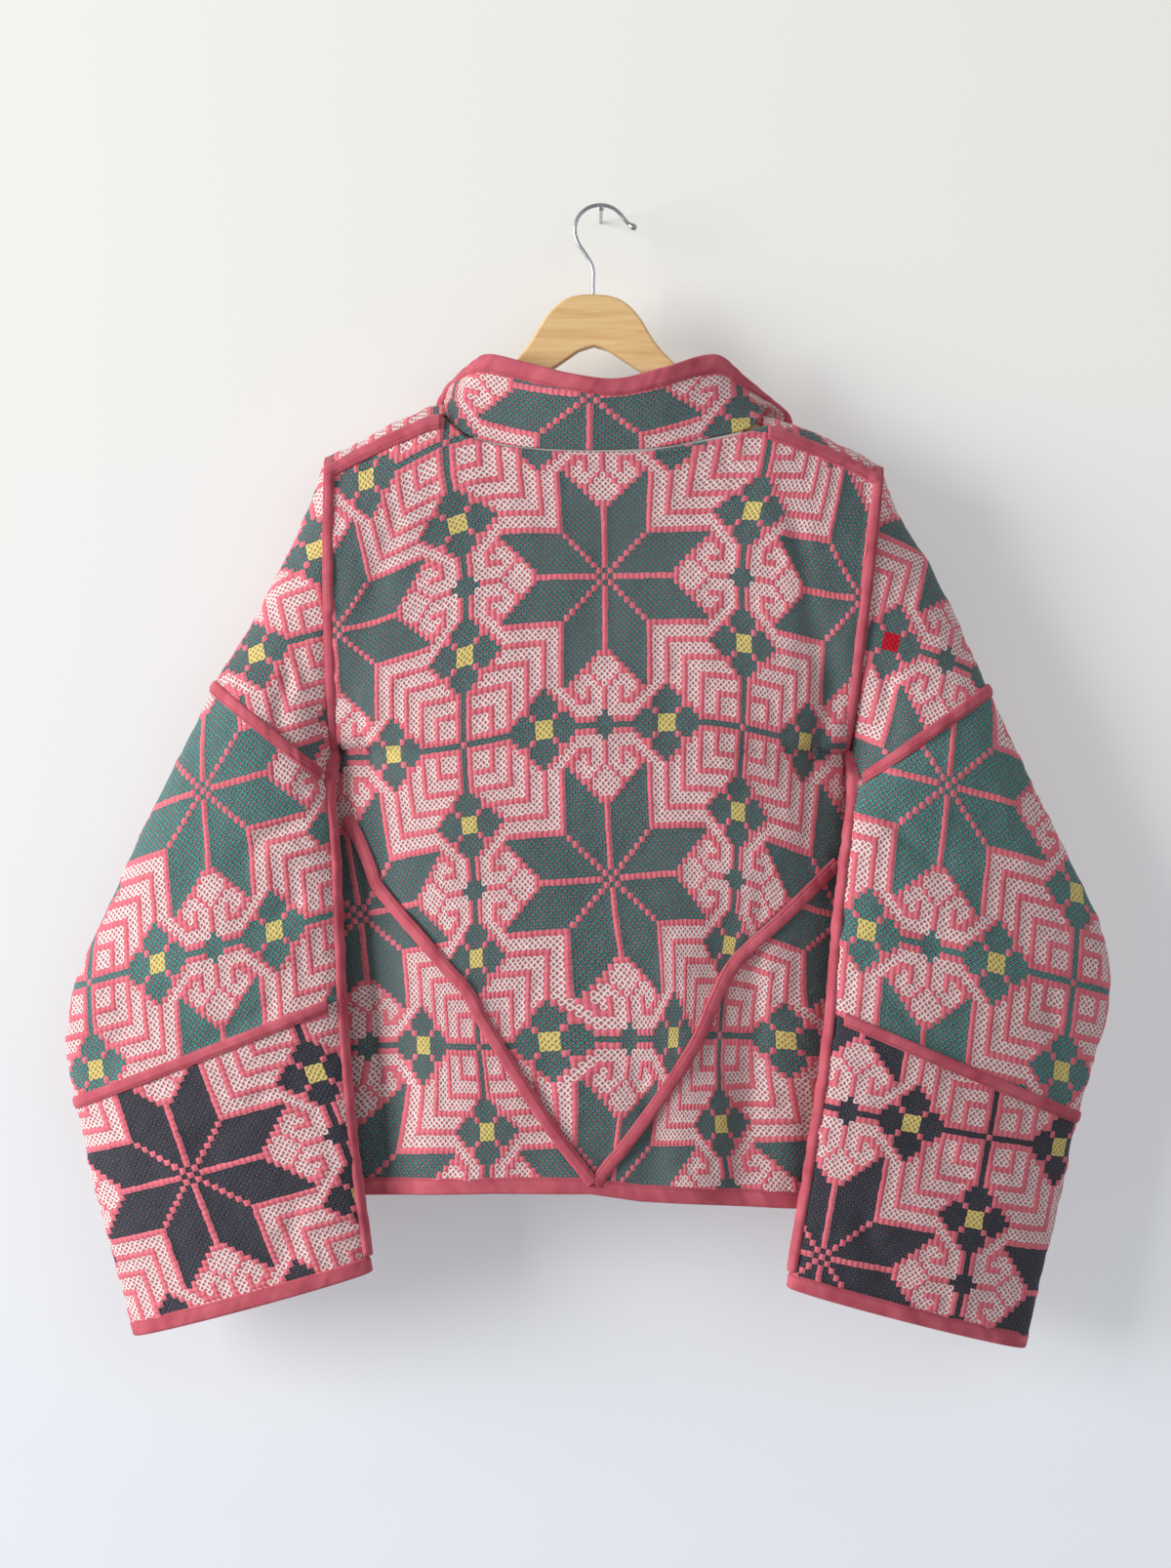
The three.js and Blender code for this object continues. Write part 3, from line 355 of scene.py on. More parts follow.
def gathers(p, away, seed):
    """Short wrinkles that run out from a taped seam; away is 1 where they have mostly died out."""
    return 1.5 * np.exp(-(away**2)) * noise(p[..., 2], 0.3 * p[..., 0], 10, seed + 50)


def hole_middle(hole):
    """Height of an armhole's middle, and half its own height."""
    return (hole["top_z"] + hole["low_z"]) / 2, (hole["top_z"] - hole["low_z"]) / 2


def hole_half(hole, z):
    middle, tall = hole_middle(hole)
    return hole["half"] * np.sqrt(np.clip(1 - ((z - middle) / tall) ** 2, 0, None))


def side_x(side, z):
    """x of a panel's side edge: the side seam, and the armhole's seam above it."""
    hole = HOLES[side]
    up = (z - hole["low_z"]) / (hole["top_z"] - hole["low_z"])
    seam = mix(hole["low_x"], hole["top_x"], up) - hole["side"] * SEAM_GAP
    return np.where(z < hole["low_z"], read(BODY, z, SIDE_COLUMN[side]), seam)


def across(u, z):
    """x of a column of the body, and its place from -1 to 1 between the edges."""
    spread = 0.45 * u + 0.55 * np.sin(math.pi / 2 * np.clip(u, -1, 1))
    return mix(side_x("left", z), side_x("right", z), (spread + 1) / 2), spread


def body_depth(u, z, face):
    """Distance of the back or front from the plane of the side seams."""
    x, spread = across(u, z)
    edge = np.where(spread < 0, hole_half(HOLES["left"], z), hole_half(HOLES["right"], z))
    full = read(BODY, z, DEPTH_COLUMN[face])
    rounding = np.sqrt(np.clip(1 - np.abs(spread) ** 2.6, 0, None))
    fold = fold_depth(x, z) if face == "back" else 0.6 * fold_depth(x * 0.9 + 15, z)
    return edge + (full - edge + fold) * rounding


def back_top(u):
    """Upper edge of the back: the neck seam, with a shoulder seam on either side."""
    in_neck = np.abs(u) < NECK_U - 1e-6
    z = np.full(np.shape(u), -200.0)
    for _ in range(4):
        x = across(u, z)[0]
        z = np.where(in_neck, read(NECK_SEAM, x), read(CREST, x) - OVER_SHOULDER[0][2])
    x = across(u, z)[0]
    return vec(x, np.where(in_neck, read(NECK_SEAM, x, 2), OVER_SHOULDER[0][1]), z)


def hem_z(u):
    return read(HEM, across(u, np.full(np.shape(u), HEM_Z))[0])


def back_point(u, v):
    top = back_top(u)
    low = hem_z(u)
    z = mix(low, top[..., 2], v)
    x = across(u, z)[0]
    edge = smooth((np.abs(u) - 0.9) / 0.1)
    near = 1 - np.clip((top[..., 2] - z) / 85, 0, 1)
    blend = (1 - edge) * (1 - np.sqrt(1 - near**2))
    return vec(x, mix(MID_Y - body_depth(u, z, "back"), top[..., 1], blend), z)


def front_point(u, v):
    """Front cloth, which runs up from the hem and over the shoulder to the back's seam."""
    top = back_top(u)
    low = hem_z(u) + 2
    crest = read(CREST, top[..., 0])
    run = mix(LAST_RUN + crest - LAST_DROP - low, read(FRONT_NECK, np.abs(u)), v)
    past = run - LAST_RUN
    z = np.where(past > 0, crest - LAST_DROP - past, crest - read(OVER_SHOULDER, run, 2))
    shoulder_y = read(OVER_SHOULDER, run)
    left, right = (hole_half(hole, np.minimum(z, hole["top_z"] - 0.2)) for hole in HOLES.values())
    half = np.where(u < 0, left, right)
    rim_y = MID_Y + np.where(shoulder_y < MID_Y, -1, 1) * half
    depth_y = MID_Y + body_depth(u, z, "front")
    inner = mix(depth_y, shoulder_y, 1 - smooth((past + 20) / 60))
    edge = np.where(past > 0, 0, smooth((np.abs(u) - 0.9) / 0.1))
    return vec(across(u, z)[0], mix(inner, rim_y, edge), z)


# ------------------------------------------------------------------ sleeves
# One row a station: outer fold x, z, y, inner seam x, z, y, half depth.
STATIONS = {
    "left": [
        (-226, -206, -3, -218.4, -443, -3, 36), (-237, -239, -4, -219.8, -449, -4, 36),
        (-259, -290, -6, -221, -455, -6, 34), (-281, -334, -8, -222, -461, -14, 31),
        (-316, -393, -10, -221.5, -468, -26, 28), (-343, -448, -10, -217, -494, -40, 27),
        (-376, -516, -10, -213, -524, -46, 26), (-405, -578, -10, -211, -562, -49, 26),
        (-427, -630, -10, -209, -600, -50, 26), (-436, -682, -10, -208, -622, -50, 26),
        (-428, -732, -10, -207, -644, -51, 26), (-416, -787, -11, -202, -716, -53, 25),
        (-399, -852, -12, -194, -790, -54, 24), (-380, -919, -14, -185, -861, -50, 22)],
    "right": [
        (229, -214, -3, 203.8, -446, -3, 36), (241, -246, -4, 205.2, -452, -4, 36),
        (261, -281, -6, 206.4, -458, -6, 34), (287, -330, -8, 207.2, -464, -14, 31),
        (316, -396, -10, 206, -471, -26, 28), (337, -442, -10, 199.5, -498, -42, 27),
        (362, -494, -10, 194, -530, -49, 26), (385, -541, -10, 190, -562, -53, 26),
        (408, -592, -10, 187, -594, -54, 26), (414, -650, -10, 184, -628, -56, 26),
        (388, -744, -10, 182, -654, -58, 26), (377, -796, -11, 173, -726, -60, 25),
        (362, -856, -12, 161, -800, -60, 24), (345, -929, -14, 150, -873, -54, 22)],
}
UPPER_RING, LOWER_RING, CUFF_END = 4, 10, 13
# Soft creases round the tube: station, depth, reach along, centre angle, half width round.
TUBE_CREASES = [
    (5.2, -4, 0.5, 0.5, 0.9), (6.4, -3, 0.45, 0.6, 0.8), (8.6, -4, 0.5, 0.55, 0.9),
    (11.4, -2.5, 0.5, 0.9, 0.9)]
SLEEVE_CREASES = {
    "left": [((-240, -500), (-300, -540), -2.0, 9), ((-236, -560), (-290, -600), -1.6, 10),
             ((-330, -470), (-372, -560), 1.5, 14), ((-250, -640), (-330, -690), -2.0, 10),
             ((-380, -640), (-400, -720), -1.6, 10), ((-260, -720), (-330, -770), -1.6, 11),
             ((-350, -760), (-300, -880), 1.4, 16), ((-250, -380), (-262, -440), -2.2, 8),
             ((-290, -560), (-350, -640), 1.3, 16), ((-240, -800), (-270, -880), -1.4, 12)],
    "right": [((226, -500), (282, -545), -2.0, 9), ((222, -570), (280, -612), -1.7, 10),
              ((318, -470), (350, -560), 1.5, 14), ((226, -650), (300, -700), -2.0, 10),
              ((360, -640), (372, -730), -1.7, 10), ((232, -740), (300, -790), -1.6, 11),
              ((320, -780), (280, -890), 1.4, 16), ((230, -380), (236, -440), -2.2, 8),
              ((270, -560), (330, -640), 1.3, 16), ((206, -810), (232, -880), -1.4, 12)],
}


def sleeve_point(side, a, t):
    """Tube point: a is 0 at the inner seam and grows over the back of the sleeve."""
    rows, t = STATIONS[side], np.clip(t, 0, CUFF_END)
    get = [read_smooth(rows, t, k) for k in range(7)]
    out, seam = vec(get[0], get[2], get[1]), vec(get[3], get[5], get[4])
    chord = seam - out
    reach = np.linalg.norm(chord, axis=-1) / 2
    along = unit(chord)
    depth_way = unit(vec(0 * t, -1 + 0 * t, 0 * t) + along * along[..., 1:2])
    half = get[6]
    for station, depth, long, angle, wide in TUBE_CREASES:
        off = ((t - station) / long) ** 2 + ((a - angle) / wide) ** 2
        half = half + np.where(t > UPPER_RING, depth * np.exp(-off), 0)
    return ((out + seam) / 2 + along * (reach * np.cos(a))[..., None]
            + depth_way * (half * np.sin(a))[..., None])


def hole_radial(side, p):
    """Direction outward from the armhole's middle, square to its edge."""
    hole = HOLES[side]
    middle, tall = hole_middle(hole)
    lean = (hole["top_x"] - hole["low_x"]) / (hole["top_z"] - hole["low_z"])
    dz = (p[..., 2] - middle) / tall**2
    return unit(vec(dz * lean, (p[..., 1] - MID_Y) / hole["half"] ** 2, dz))


# ------------------------------------------------------------------ collar
# One row a station: x, y, z of the neck seam and of the bound edge.
COLLAR = [
    (-12, 29, -272, -14, 36, -214), (-60, 29, -262, -66, 39, -207),
    (-92, 27, -217, -108, 38, -186), (-113, 19, -175, -134, 30, -164),
    (-123, -3, -160, -126, 14, -144), (-127, -18, -171, -112, -2, -134),
    (-110, -28, -190, -94, -18, -125), (-72, -36, -200.5, -62, -29, -133),
    (-30, -40, -204.3, -26, -36, -143), (12, -41, -204.6, 12, -37, -147.5),
    (50, -38, -202, 50, -33, -138), (88, -32, -194, 92, -18, -125),
    (119, -24, -185, 116, -6, -140), (129, -14, -171.5, 137, 9, -154),
    (129, -1, -165, 157, 23, -171), (119, 18, -180, 146, 34, -186), (96, 27, -222, 112, 39, -196),
    (58, 29, -264, 62, 39, -212), (8, 29, -272, 10, 36, -216)]
COLLAR_END = len(COLLAR) - 1


def collar_point(u, v):
    get = [read_smooth(COLLAR, np.clip(u, 0, COLLAR_END), k) for k in range(6)]
    base = vec(get[0], get[1], get[2] + SEAM_GAP)
    return base + (vec(get[3], get[4], get[5]) - base) * np.asarray(v)[..., None]


# ------------------------------------------------------------------ surfaces with normals
def surface(at, u, v, u_range, v_range, flip=1):
    """Points of at(u, v) and their outward normals, which are taken inside the ranges."""
    u, v = np.broadcast_arrays(u, v)
    near_u, near_v = np.clip(u, *u_range), np.clip(v, *v_range)
    a = at(near_u + STEP, near_v) - at(near_u - STEP, near_v)
    b = at(near_u, near_v + STEP) - at(near_u, near_v - STEP)
    return at(u, v), unit(np.cross(a, b)) * flip


def edge_normal(u, p, n):
    """Wall direction at a panel's side edges, shared by the two pieces that meet there."""
    result = n.copy()
    for side, mask in (("left", u < -0.999), ("right", u > 0.999)):
        hole = HOLES[side]
        outward = np.array([hole["side"], 0.0, 0.0])
        turn = smooth((p[..., 2] - hole["low_z"]) / 30)[..., None]
        shared = unit(mix(outward, hole_radial(side, p), turn))
        result = np.where(mask[..., None], shared, result)
    return result


def panel_surface(at, u, v, flip):
    u, v = np.broadcast_arrays(u, v)
    p, n = surface(at, u, v, (-0.998, 0.998), (0.002, 0.998), flip)
    return p, edge_normal(u, p, n)


def back_surface(u, v):
    return panel_surface(back_point, u, v, 1)


def front_surface(u, v):
    return panel_surface(front_point, u, v, -1)


def sleeve_surface(side, a, t):
    turn = -HOLES[side]["side"]
    p, n = surface(lambda b, s: sleeve_point(side, b, s), a, t, (-np.inf, np.inf),
                   (0.01, CUFF_END - 0.01), turn)
    # At the armhole the wall stands square to the armhole's own edge.
    start = smooth(1 - np.broadcast_arrays(t, a)[0] / 0.35)[..., None]
    return p, unit(mix(n, hole_radial(side, p), start))


def collar_surface(u, v):
    return surface(collar_point, u, v, (0.01, COLLAR_END - 0.01), (0.01, 0.99))


# ------------------------------------------------------------------ meshes
def mesh_object(name, positions, faces, charts=None, flat_faces=()):
    """Object from points in millimetres; charts are UV maps by name, one pair a point."""
    mesh = bpy.data.meshes.new(name)
    mesh.from_pydata((np.asarray(positions) * MM).tolist(), [], faces)
    rounded = np.ones(len(mesh.polygons), bool)
    rounded[list(flat_faces)] = False
    mesh.polygons.foreach_set("use_smooth", rounded)
    if charts:
        corner = np.zeros(len(mesh.loops), int)
        mesh.loops.foreach_get("vertex_index", corner)
        for key, values in charts.items():
            layer = mesh.uv_layers.new(name=key)
            layer.data.foreach_set("uv", np.asarray(values, float)[corner].ravel())
    mesh.validate()
    mesh.update()
    obj = bpy.data.objects.new(name, mesh)
    bpy.context.scene.collection.objects.link(obj)
    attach(obj, "root")
    return obj


def grid_faces(numbers, close_rows=False, close_columns=False):
    """Quads of a grid of point numbers, which can close on itself either way."""
    if close_rows:
        numbers = np.vstack([numbers, numbers[:1]])
    if close_columns:
        numbers = np.column_stack([numbers, numbers[:, :1]])
    corners = [numbers[:-1, :-1], numbers[:-1, 1:], numbers[1:, 1:], numbers[1:, :-1]]
    return np.stack(corners, axis=-1).reshape(-1, 4).tolist()


def facing_out(positions, faces, quads):
    """The faces, turned where needed so that they face outward; the first so many are quads."""
    if signed_volume(positions, faces[:quads]) < 0:
        return [face[::-1] for face in faces]
    return faces


def every(count, skip, closed=False):
    """Every skip-th number, and the last one of an open row."""
    return list(range(0, count, skip)) if closed else list(range(0, count - 1, skip)) + [count - 1]


def shell(name, outer, inner, charts, closed=False, skip=COARSE):
    """Closed thin wall between two grids of points; the inner face has every skip-th of them."""
    rows, columns = outer.shape[:2]
    keep_rows, keep_columns = every(rows, skip), every(columns, skip, closed)
    keep = np.ix_(keep_rows, keep_columns)
    top = np.arange(rows * columns).reshape(rows, columns)
    under = np.arange(len(keep_rows) * len(keep_columns)).reshape(len(keep_rows), -1) + top.size
    marks = keep_columns
    if closed:
        top, under = (np.column_stack([g, g[:, :1]]) for g in (top, under))
        marks = keep_columns + [columns]
    faces = grid_faces(top) + [face[::-1] for face in grid_faces(under)]
    quads = len(faces)

    def rim(outer_line, inner_line, marks, turn):
        for k in range(len(marks) - 1):
            run = [int(outer_line[i]) for i in range(marks[k], marks[k + 1] + 1)]
            face = run[::-1] + [int(inner_line[k]), int(inner_line[k + 1])]
            faces.append(face[::-1] if turn else face)

    rim(top[0], under[0], marks, False)
    rim(top[-1], under[-1], marks, True)
    if not closed:
        rim(top[:, -1], under[:, -1], keep_rows, False)
        rim(top[:, 0], under[:, 0], keep_rows, True)
    positions = np.concatenate([outer.reshape(-1, 3), inner[keep].reshape(-1, 3)])
    spread = {}
    for key, pair in charts.items():
        grid = np.stack(pair, axis=-1)
        spread[key] = np.concatenate([grid.reshape(-1, 2), grid[keep].reshape(-1, 2)])
    faces = facing_out(positions, faces, quads)
    return mesh_object(name, positions, faces, spread, range(quads, len(faces)))


def signed_volume(positions, quads):
    q = np.asarray(quads)
    a, b, c, d = (positions[q[:, k]] for k in range(4))
    one = np.einsum("ij,ij->i", a, np.cross(b, c)).sum()
    return one + np.einsum("ij,ij->i", a, np.cross(c, d)).sum()


def ticks(length, skip=COARSE, pitch=PITCH):
    """Number of points for a length, so that whole runs of skip fit between them."""
    return skip * max(2, round(length / pitch / skip)) + 1


def cloth_relief(cu, cv, p, seed):
    """Puffs of plain cloth, small unevenness and dimples, in millimetres."""
    px, pz = p[..., 0], p[..., 2]
    return (PLAIN_PUFF * (puffs(cu, cv) - 0.5)
            + 0.9 * noise(px, pz, 46, seed) + 0.6 * noise(px, pz, 16, seed + 1)
            + 0.3 * noise(px, pz, 7.5, seed + 2))


def declare(nodes):
    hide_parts(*nodes)


# ------------------------------------------------------------------ materials
def paint(red, green, blue):
    """Linear colour from 0-255 values."""
    def one(value):
        value /= 255
        return value / 12.92 if value <= 0.04045 else ((value + 0.055) / 1.055) ** 2.4
    return (one(red), one(green), one(blue), 1.0)


class Tree:
    """Short calls for building a node tree."""

    def __init__(self, tree):
        self.tree = tree

    def add(self, kind, inputs=None, **settings):
        node = self.tree.nodes.new(kind)
        for key, value in settings.items():
            setattr(node, key, value)
        self.fill(node, inputs or {})
        return node

    def fill(self, node, inputs):
        for key, value in inputs.items():
            self.put(node.inputs[key], value)

    def put(self, socket, value):
        if isinstance(value, bpy.types.NodeSocket):
            self.tree.links.new(value, socket)
        else:
            socket.default_value = value

    def math(self, operation, a, b=0.0, c=0.0, clamp=False):
        inputs = {0: a, 1: b, 2: c}
        return self.add("ShaderNodeMath", inputs, operation=operation, use_clamp=clamp).outputs[0]

    def shifted(self, value, noise, amount):
        """The value, moved to and fro by a noise of 0 to 1."""
        return self.math("MULTIPLY_ADD", self.math("SUBTRACT", noise, 0.5), amount, value)

    # A mix node has its own sockets for each kind of data: 0, 2, 3 for numbers, 6, 7 for colours.
    def colour(self, a, b, share=1.0, blend="MIX"):
        inputs = {0: share, 6: a, 7: b}
        return self.add("ShaderNodeMix", inputs, data_type="RGBA", blend_type=blend).outputs[2]

    def level(self, a, b, share):
        return self.add("ShaderNodeMix", {0: share, 2: a, 3: b}, data_type="FLOAT").outputs[0]

    def parts(self, vector):
        """The three values of a vector."""
        return self.add("ShaderNodeSeparateXYZ", {0: vector}).outputs

    def noise(self, vector, scale, detail=2.0, roughness=0.5, output="Fac"):
        inputs = {"Vector": vector, "Scale": scale, "Detail": detail, "Roughness": roughness}
        return self.add("ShaderNodeTexNoise", inputs).outputs[output]

    def ramp(self, value, stops):
        node = self.add("ShaderNodeValToRGB", {"Fac": value})
        elements = node.color_ramp.elements
        while len(elements) < len(stops):
            elements.new(0.5)
        for element, (place, colour) in zip(elements, stops):
            element.position = place
            element.color = colour
        return node.outputs["Color"]

    def span(self, value, low, high, new_low=0.0, new_high=1.0, soft=False):
        inputs = {"Value": value, "From Min": low, "From Max": high, "To Min": new_low,
                  "To Max": new_high}
        kind = "SMOOTHSTEP" if soft else "LINEAR"
        return self.add("ShaderNodeMapRange", inputs, interpolation_type=kind).outputs["Result"]

    def bump(self, height, strength=1.0, distance=MM):
        inputs = {"Height": height, "Strength": strength, "Distance": distance}
        return self.add("ShaderNodeBump", inputs).outputs["Normal"]


def new_material(name):
    material = bpy.data.materials.new(name)
    material.use_nodes = True
    tree = Tree(material.node_tree)
    shader = material.node_tree.nodes["Principled BSDF"]
    place = tree.add("ShaderNodeTexCoord").outputs["Object"]
    return material, tree, shader, place


def pattern_group():
    """Node group with the rules of pattern(): white, green and yellow, and the threads' net."""
    group = bpy.data.node_groups.new("kantha_pattern", "ShaderNodeTree")
    for name in ("cu", "cv"):
        group.interface.new_socket(name, in_out="INPUT", socket_type="NodeSocketFloat")
    for name in ("white", "green", "yellow", "net"):
        group.interface.new_socket(name, in_out="OUTPUT", socket_type="NodeSocketFloat")
    tree = Tree(group)
    given = tree.add("NodeGroupInput")
    result = tree.add("NodeGroupOutput")
    cells = []
    for name in ("cu", "cv"):
        nearest = tree.math("FLOOR", tree.math("ADD", given.outputs[name], 0.5))
        turned = tree.math("FLOORED_MODULO", tree.math("ADD", nearest, TILE / 2), TILE)
        cells.append(tree.math("ABSOLUTE", tree.math("SUBTRACT", turned, TILE / 2)))
    u, v = tree.math("MINIMUM", *cells), tree.math("MAXIMUM", *cells)
    measures = {"u": u, "v": v, "v-u": tree.math("SUBTRACT", v, u), "u+v": tree.math("ADD", u, v),
                "q": tree.math("ABSOLUTE", tree.math("SUBTRACT", u, FLOWER))}
    tests = {}
    for colour, name in ((WHITE, "white"), (GREEN, "green"), (YELLOW, "yellow")):
        total = 0.0
        for _, ranges in (rule for rule in RULES if rule[0] == colour):
            hit = None
            for key, (low, high) in ranges.items():
                if (key, low, high) not in tests:
                    middle, reach = (low + high) / 2, (high - low) / 2 + 0.25
                    tests[key, low, high] = tree.math("COMPARE", measures[key], middle, reach)
                test = tests[key, low, high]
                hit = test if hit is None else tree.math("MULTIPLY", hit, test)
            total = tree.math("ADD", total, hit, clamp=True)
        tree.put(result.inputs[name], total)
    plus = tree.math("ADD", given.outputs["cu"], given.outputs["cv"])
    minus = tree.math("SUBTRACT", given.outputs["cu"], given.outputs["cv"])
    net = tree.math("MAXIMUM", tree.math("PINGPONG", plus, 0.5), tree.math("PINGPONG", minus, 0.5))
    tree.put(result.inputs["net"], tree.math("MULTIPLY", net, 2.0))
    return group


PATTERN = pattern_group()


def stops(*rows):
    """Colours of a ramp: each row is a place from 0 to 1 and a colour in 0-255 values."""
    return [(place, paint(*colour)) for place, *colour in rows]


def stitched_stops(dot, dark, thread, bright):
    """Colours from the middle of a hole in the net to the middle of a thread; the dark one between
    them is painted shade where the thread meets the cloth.
    """
    return stops((0.0, *dot), (0.3, *dot), (0.42, *dark), (0.64, *thread), (0.92, *bright))


PINK, DEEP_PINK = paint(236, 122, 136), paint(212, 96, 112)
WHITE_STOPS = stops((0.0, 196, 98, 112), (0.42, 210, 114, 128), (0.58, 228, 166, 168),
                    (0.74, 244, 222, 217), (0.92, 253, 241, 236))
# In these three the second colour, near black, is painted shade at the threads' edges.
TEAL_STOPS = stitched_stops((190, 112, 122), (20, 38, 44), (38, 80, 82), (88, 144, 140))
BRIGHT_TEAL_STOPS = stitched_stops((190, 118, 128), (20, 48, 54), (38, 98, 96), (92, 166, 158))
DARK_STOPS = stitched_stops((132, 80, 94), (10, 14, 20), (20, 30, 38), (66, 84, 94))
YELLOW_STOPS = stops((0.0, 196, 128, 96), (0.35, 208, 160, 96), (0.6, 226, 208, 112),
                     (0.9, 240, 228, 150))
WOOD_STOPS = stops((0.3, 222, 176, 116), (0.5, 238, 198, 138), (0.72, 245, 211, 155))


def cloth_material(name, green_stops, red_cell=None):
    """Quilted cotton: plain puffs between nets of running stitches."""
    material, tree, shader, place = new_material(name)
    cells = tree.parts(tree.add("ShaderNodeUVMap", uv_map="cells").outputs[0])
    wander = tree.parts(tree.noise(place, 210.0, 1.0, output="Color"))
    cu, cv = (tree.shifted(cells[k], wander[k], 0.4) for k in (0, 1))
    chart = tree.add("ShaderNodeGroup", node_tree=PATTERN)
    tree.fill(chart, {"cu": cu, "cv": cv})
    white, green, yellow, net = (chart.outputs[k] for k in ("white", "green", "yellow", "net"))
    fine = tree.noise(place, 1400.0, 2.0, 0.6)
    broad = tree.noise(place, 34.0, 3.0)
    uneven = tree.noise(place, 420.0, 1.0)
    ragged = tree.shifted(net, uneven, 0.3)
    plain = tree.colour(DEEP_PINK, PINK, tree.span(broad, 0.25, 0.6, 0.35, 1.0))
    plain = tree.colour(plain, paint(226, 122, 134), tree.span(fine, 0.55, 0.75, 0.0, 0.45))
    colour = tree.colour(plain, tree.ramp(ragged, WHITE_STOPS), white)
    # The green net's colours hold painted shade at the threads' edges.
    colour = tree.colour(colour, tree.ramp(ragged, green_stops), green)
    flower = tree.ramp(ragged, YELLOW_STOPS)
    if red_cell:
        near = [tree.math("COMPARE", cells[k], red_cell[k], 4.0) for k in (0, 1)]
        flower = tree.colour(flower, paint(206, 14, 44), tree.math("MULTIPLY", *near))
    colour = tree.colour(colour, flower, yellow)
    tint = tree.span(tree.noise(place, 9.0, 2.0), 0.3, 0.7, 0.9, 1.02)
    grey = tree.add("ShaderNodeCombineColor", {0: tint, 1: tint, 2: tint}).outputs[0]
    colour = tree.colour(colour, grey, blend="MULTIPLY")
    sewn = tree.math("ADD", tree.math("ADD", white, green), yellow, clamp=True)
    threads = tree.span(ragged, 0.35, 0.85, 0.0, 0.75, soft=True)
    rounds = [tree.math("COSINE", tree.math("MULTIPLY", c, FULL_TURN)) for c in (cu, cv)]
    puff = tree.math("MULTIPLY_ADD", tree.math("ADD", *rounds), 0.24, 0.7)
    height = tree.math("MULTIPLY_ADD", fine, 0.2, tree.level(puff, threads, sewn))
    height = tree.math("MULTIPLY_ADD", uneven, 0.5, height)
    tree.fill(shader, {
        "Base Color": colour, "Normal": tree.bump(height, 1.0),
        "Roughness": tree.span(uneven, 0.3, 0.7, 0.78, 0.92), "Specular IOR Level": 0.25,
        "Sheen Weight": 0.16, "Sheen Roughness": 0.45})
    return material


def tape_material(name):
    """Plain cotton tape; the map "tape" is millimetres along it and -1 to 1 across it."""
    material, tree, shader, place = new_material(name)
    along, side = tree.parts(tree.add("ShaderNodeUVMap", uv_map="tape").outputs[0])[:2]
    fine = tree.noise(place, 1500.0, 2.0, 0.6)
    broad = tree.noise(place, 45.0, 3.0)
    row = tree.math("COMPARE", side, STITCH_ROW, 0.06)
    step = tree.math("PINGPONG", along, 1.6)
    stitch = tree.math("MULTIPLY", row, tree.math("GREATER_THAN", step, 0.55))
    off = tree.math("ABSOLUTE", tree.math("SUBTRACT", side, STITCH_ROW))
    # Painted shade: the tape is darker along its sewn line, where the stitches pull it into a
    # groove.
    painted_groove_shade = tree.span(off, 0.0, 0.2, 1.0, 0.0)
    colour = tree.colour(paint(180, 74, 90), paint(208, 102, 116), tree.span(broad, 0.3, 0.65))
    colour = tree.colour(colour, paint(224, 112, 124), tree.span(fine, 0.56, 0.78, 0.0, 0.4))
    colour = tree.colour(colour, paint(150, 46, 62), tree.math("MULTIPLY", painted_groove_shade, 0.65))
    colour = tree.colour(colour, paint(220, 116, 126), tree.math("MULTIPLY", stitch, 0.55))
    twill = tree.math("MULTIPLY_ADD", side, 22.0, tree.math("MULTIPLY", along, 5.2))
    twill = tree.math("SINE", twill)
    height = tree.math("MULTIPLY_ADD", twill, 0.035, tree.math("MULTIPLY", fine, 0.22))
    height = tree.math("MULTIPLY_ADD", stitch, 0.3, height)
    tree.fill(shader, {
        "Base Color": colour, "Normal": tree.bump(height, 0.8),
        "Roughness": tree.span(fine, 0.3, 0.7, 0.72, 0.88), "Specular IOR Level": 0.25,
        "Sheen Weight": 0.2, "Sheen Roughness": 0.4})
    return material


def wood_material():
    material, tree, shader, place = new_material("hanger_wood")
    along = tree.add("ShaderNodeMapping", {"Vector": place, "Scale": (5.0, 60.0, 95.0)}).outputs[0]
    grain = tree.noise(along, 2.2, 4.0, 0.6)
    lines = tree.noise(along, 9.0, 2.0, 0.5)
    dark = tree.span(lines, 0.58, 0.76, 0.0, 0.35)
    tree.fill(shader, {
        "Base Color": tree.colour(tree.ramp(grain, WOOD_STOPS), paint(208, 156, 98), dark),
        "Normal": tree.bump(lines, 0.25, 0.2 * MM),
        "Roughness": tree.span(grain, 0.3, 0.7, 0.42, 0.55), "Coat Weight": 0.2,
        "Coat Roughness": 0.25})
    return material


def steel_material():
    material, tree, shader, place = new_material("hook_steel")
    marks = tree.noise(place, 700.0, 3.0, 0.6)
    dull = tree.noise(place, 120.0, 2.0)
    tree.fill(shader, {
        "Base Color": tree.colour(paint(168, 170, 174), paint(206, 208, 212), dull),
        "Normal": tree.bump(marks, 0.15, 0.1 * MM),
        "Roughness": tree.span(marks, 0.3, 0.7, 0.2, 0.36), "Metallic": 1.0})
    return material


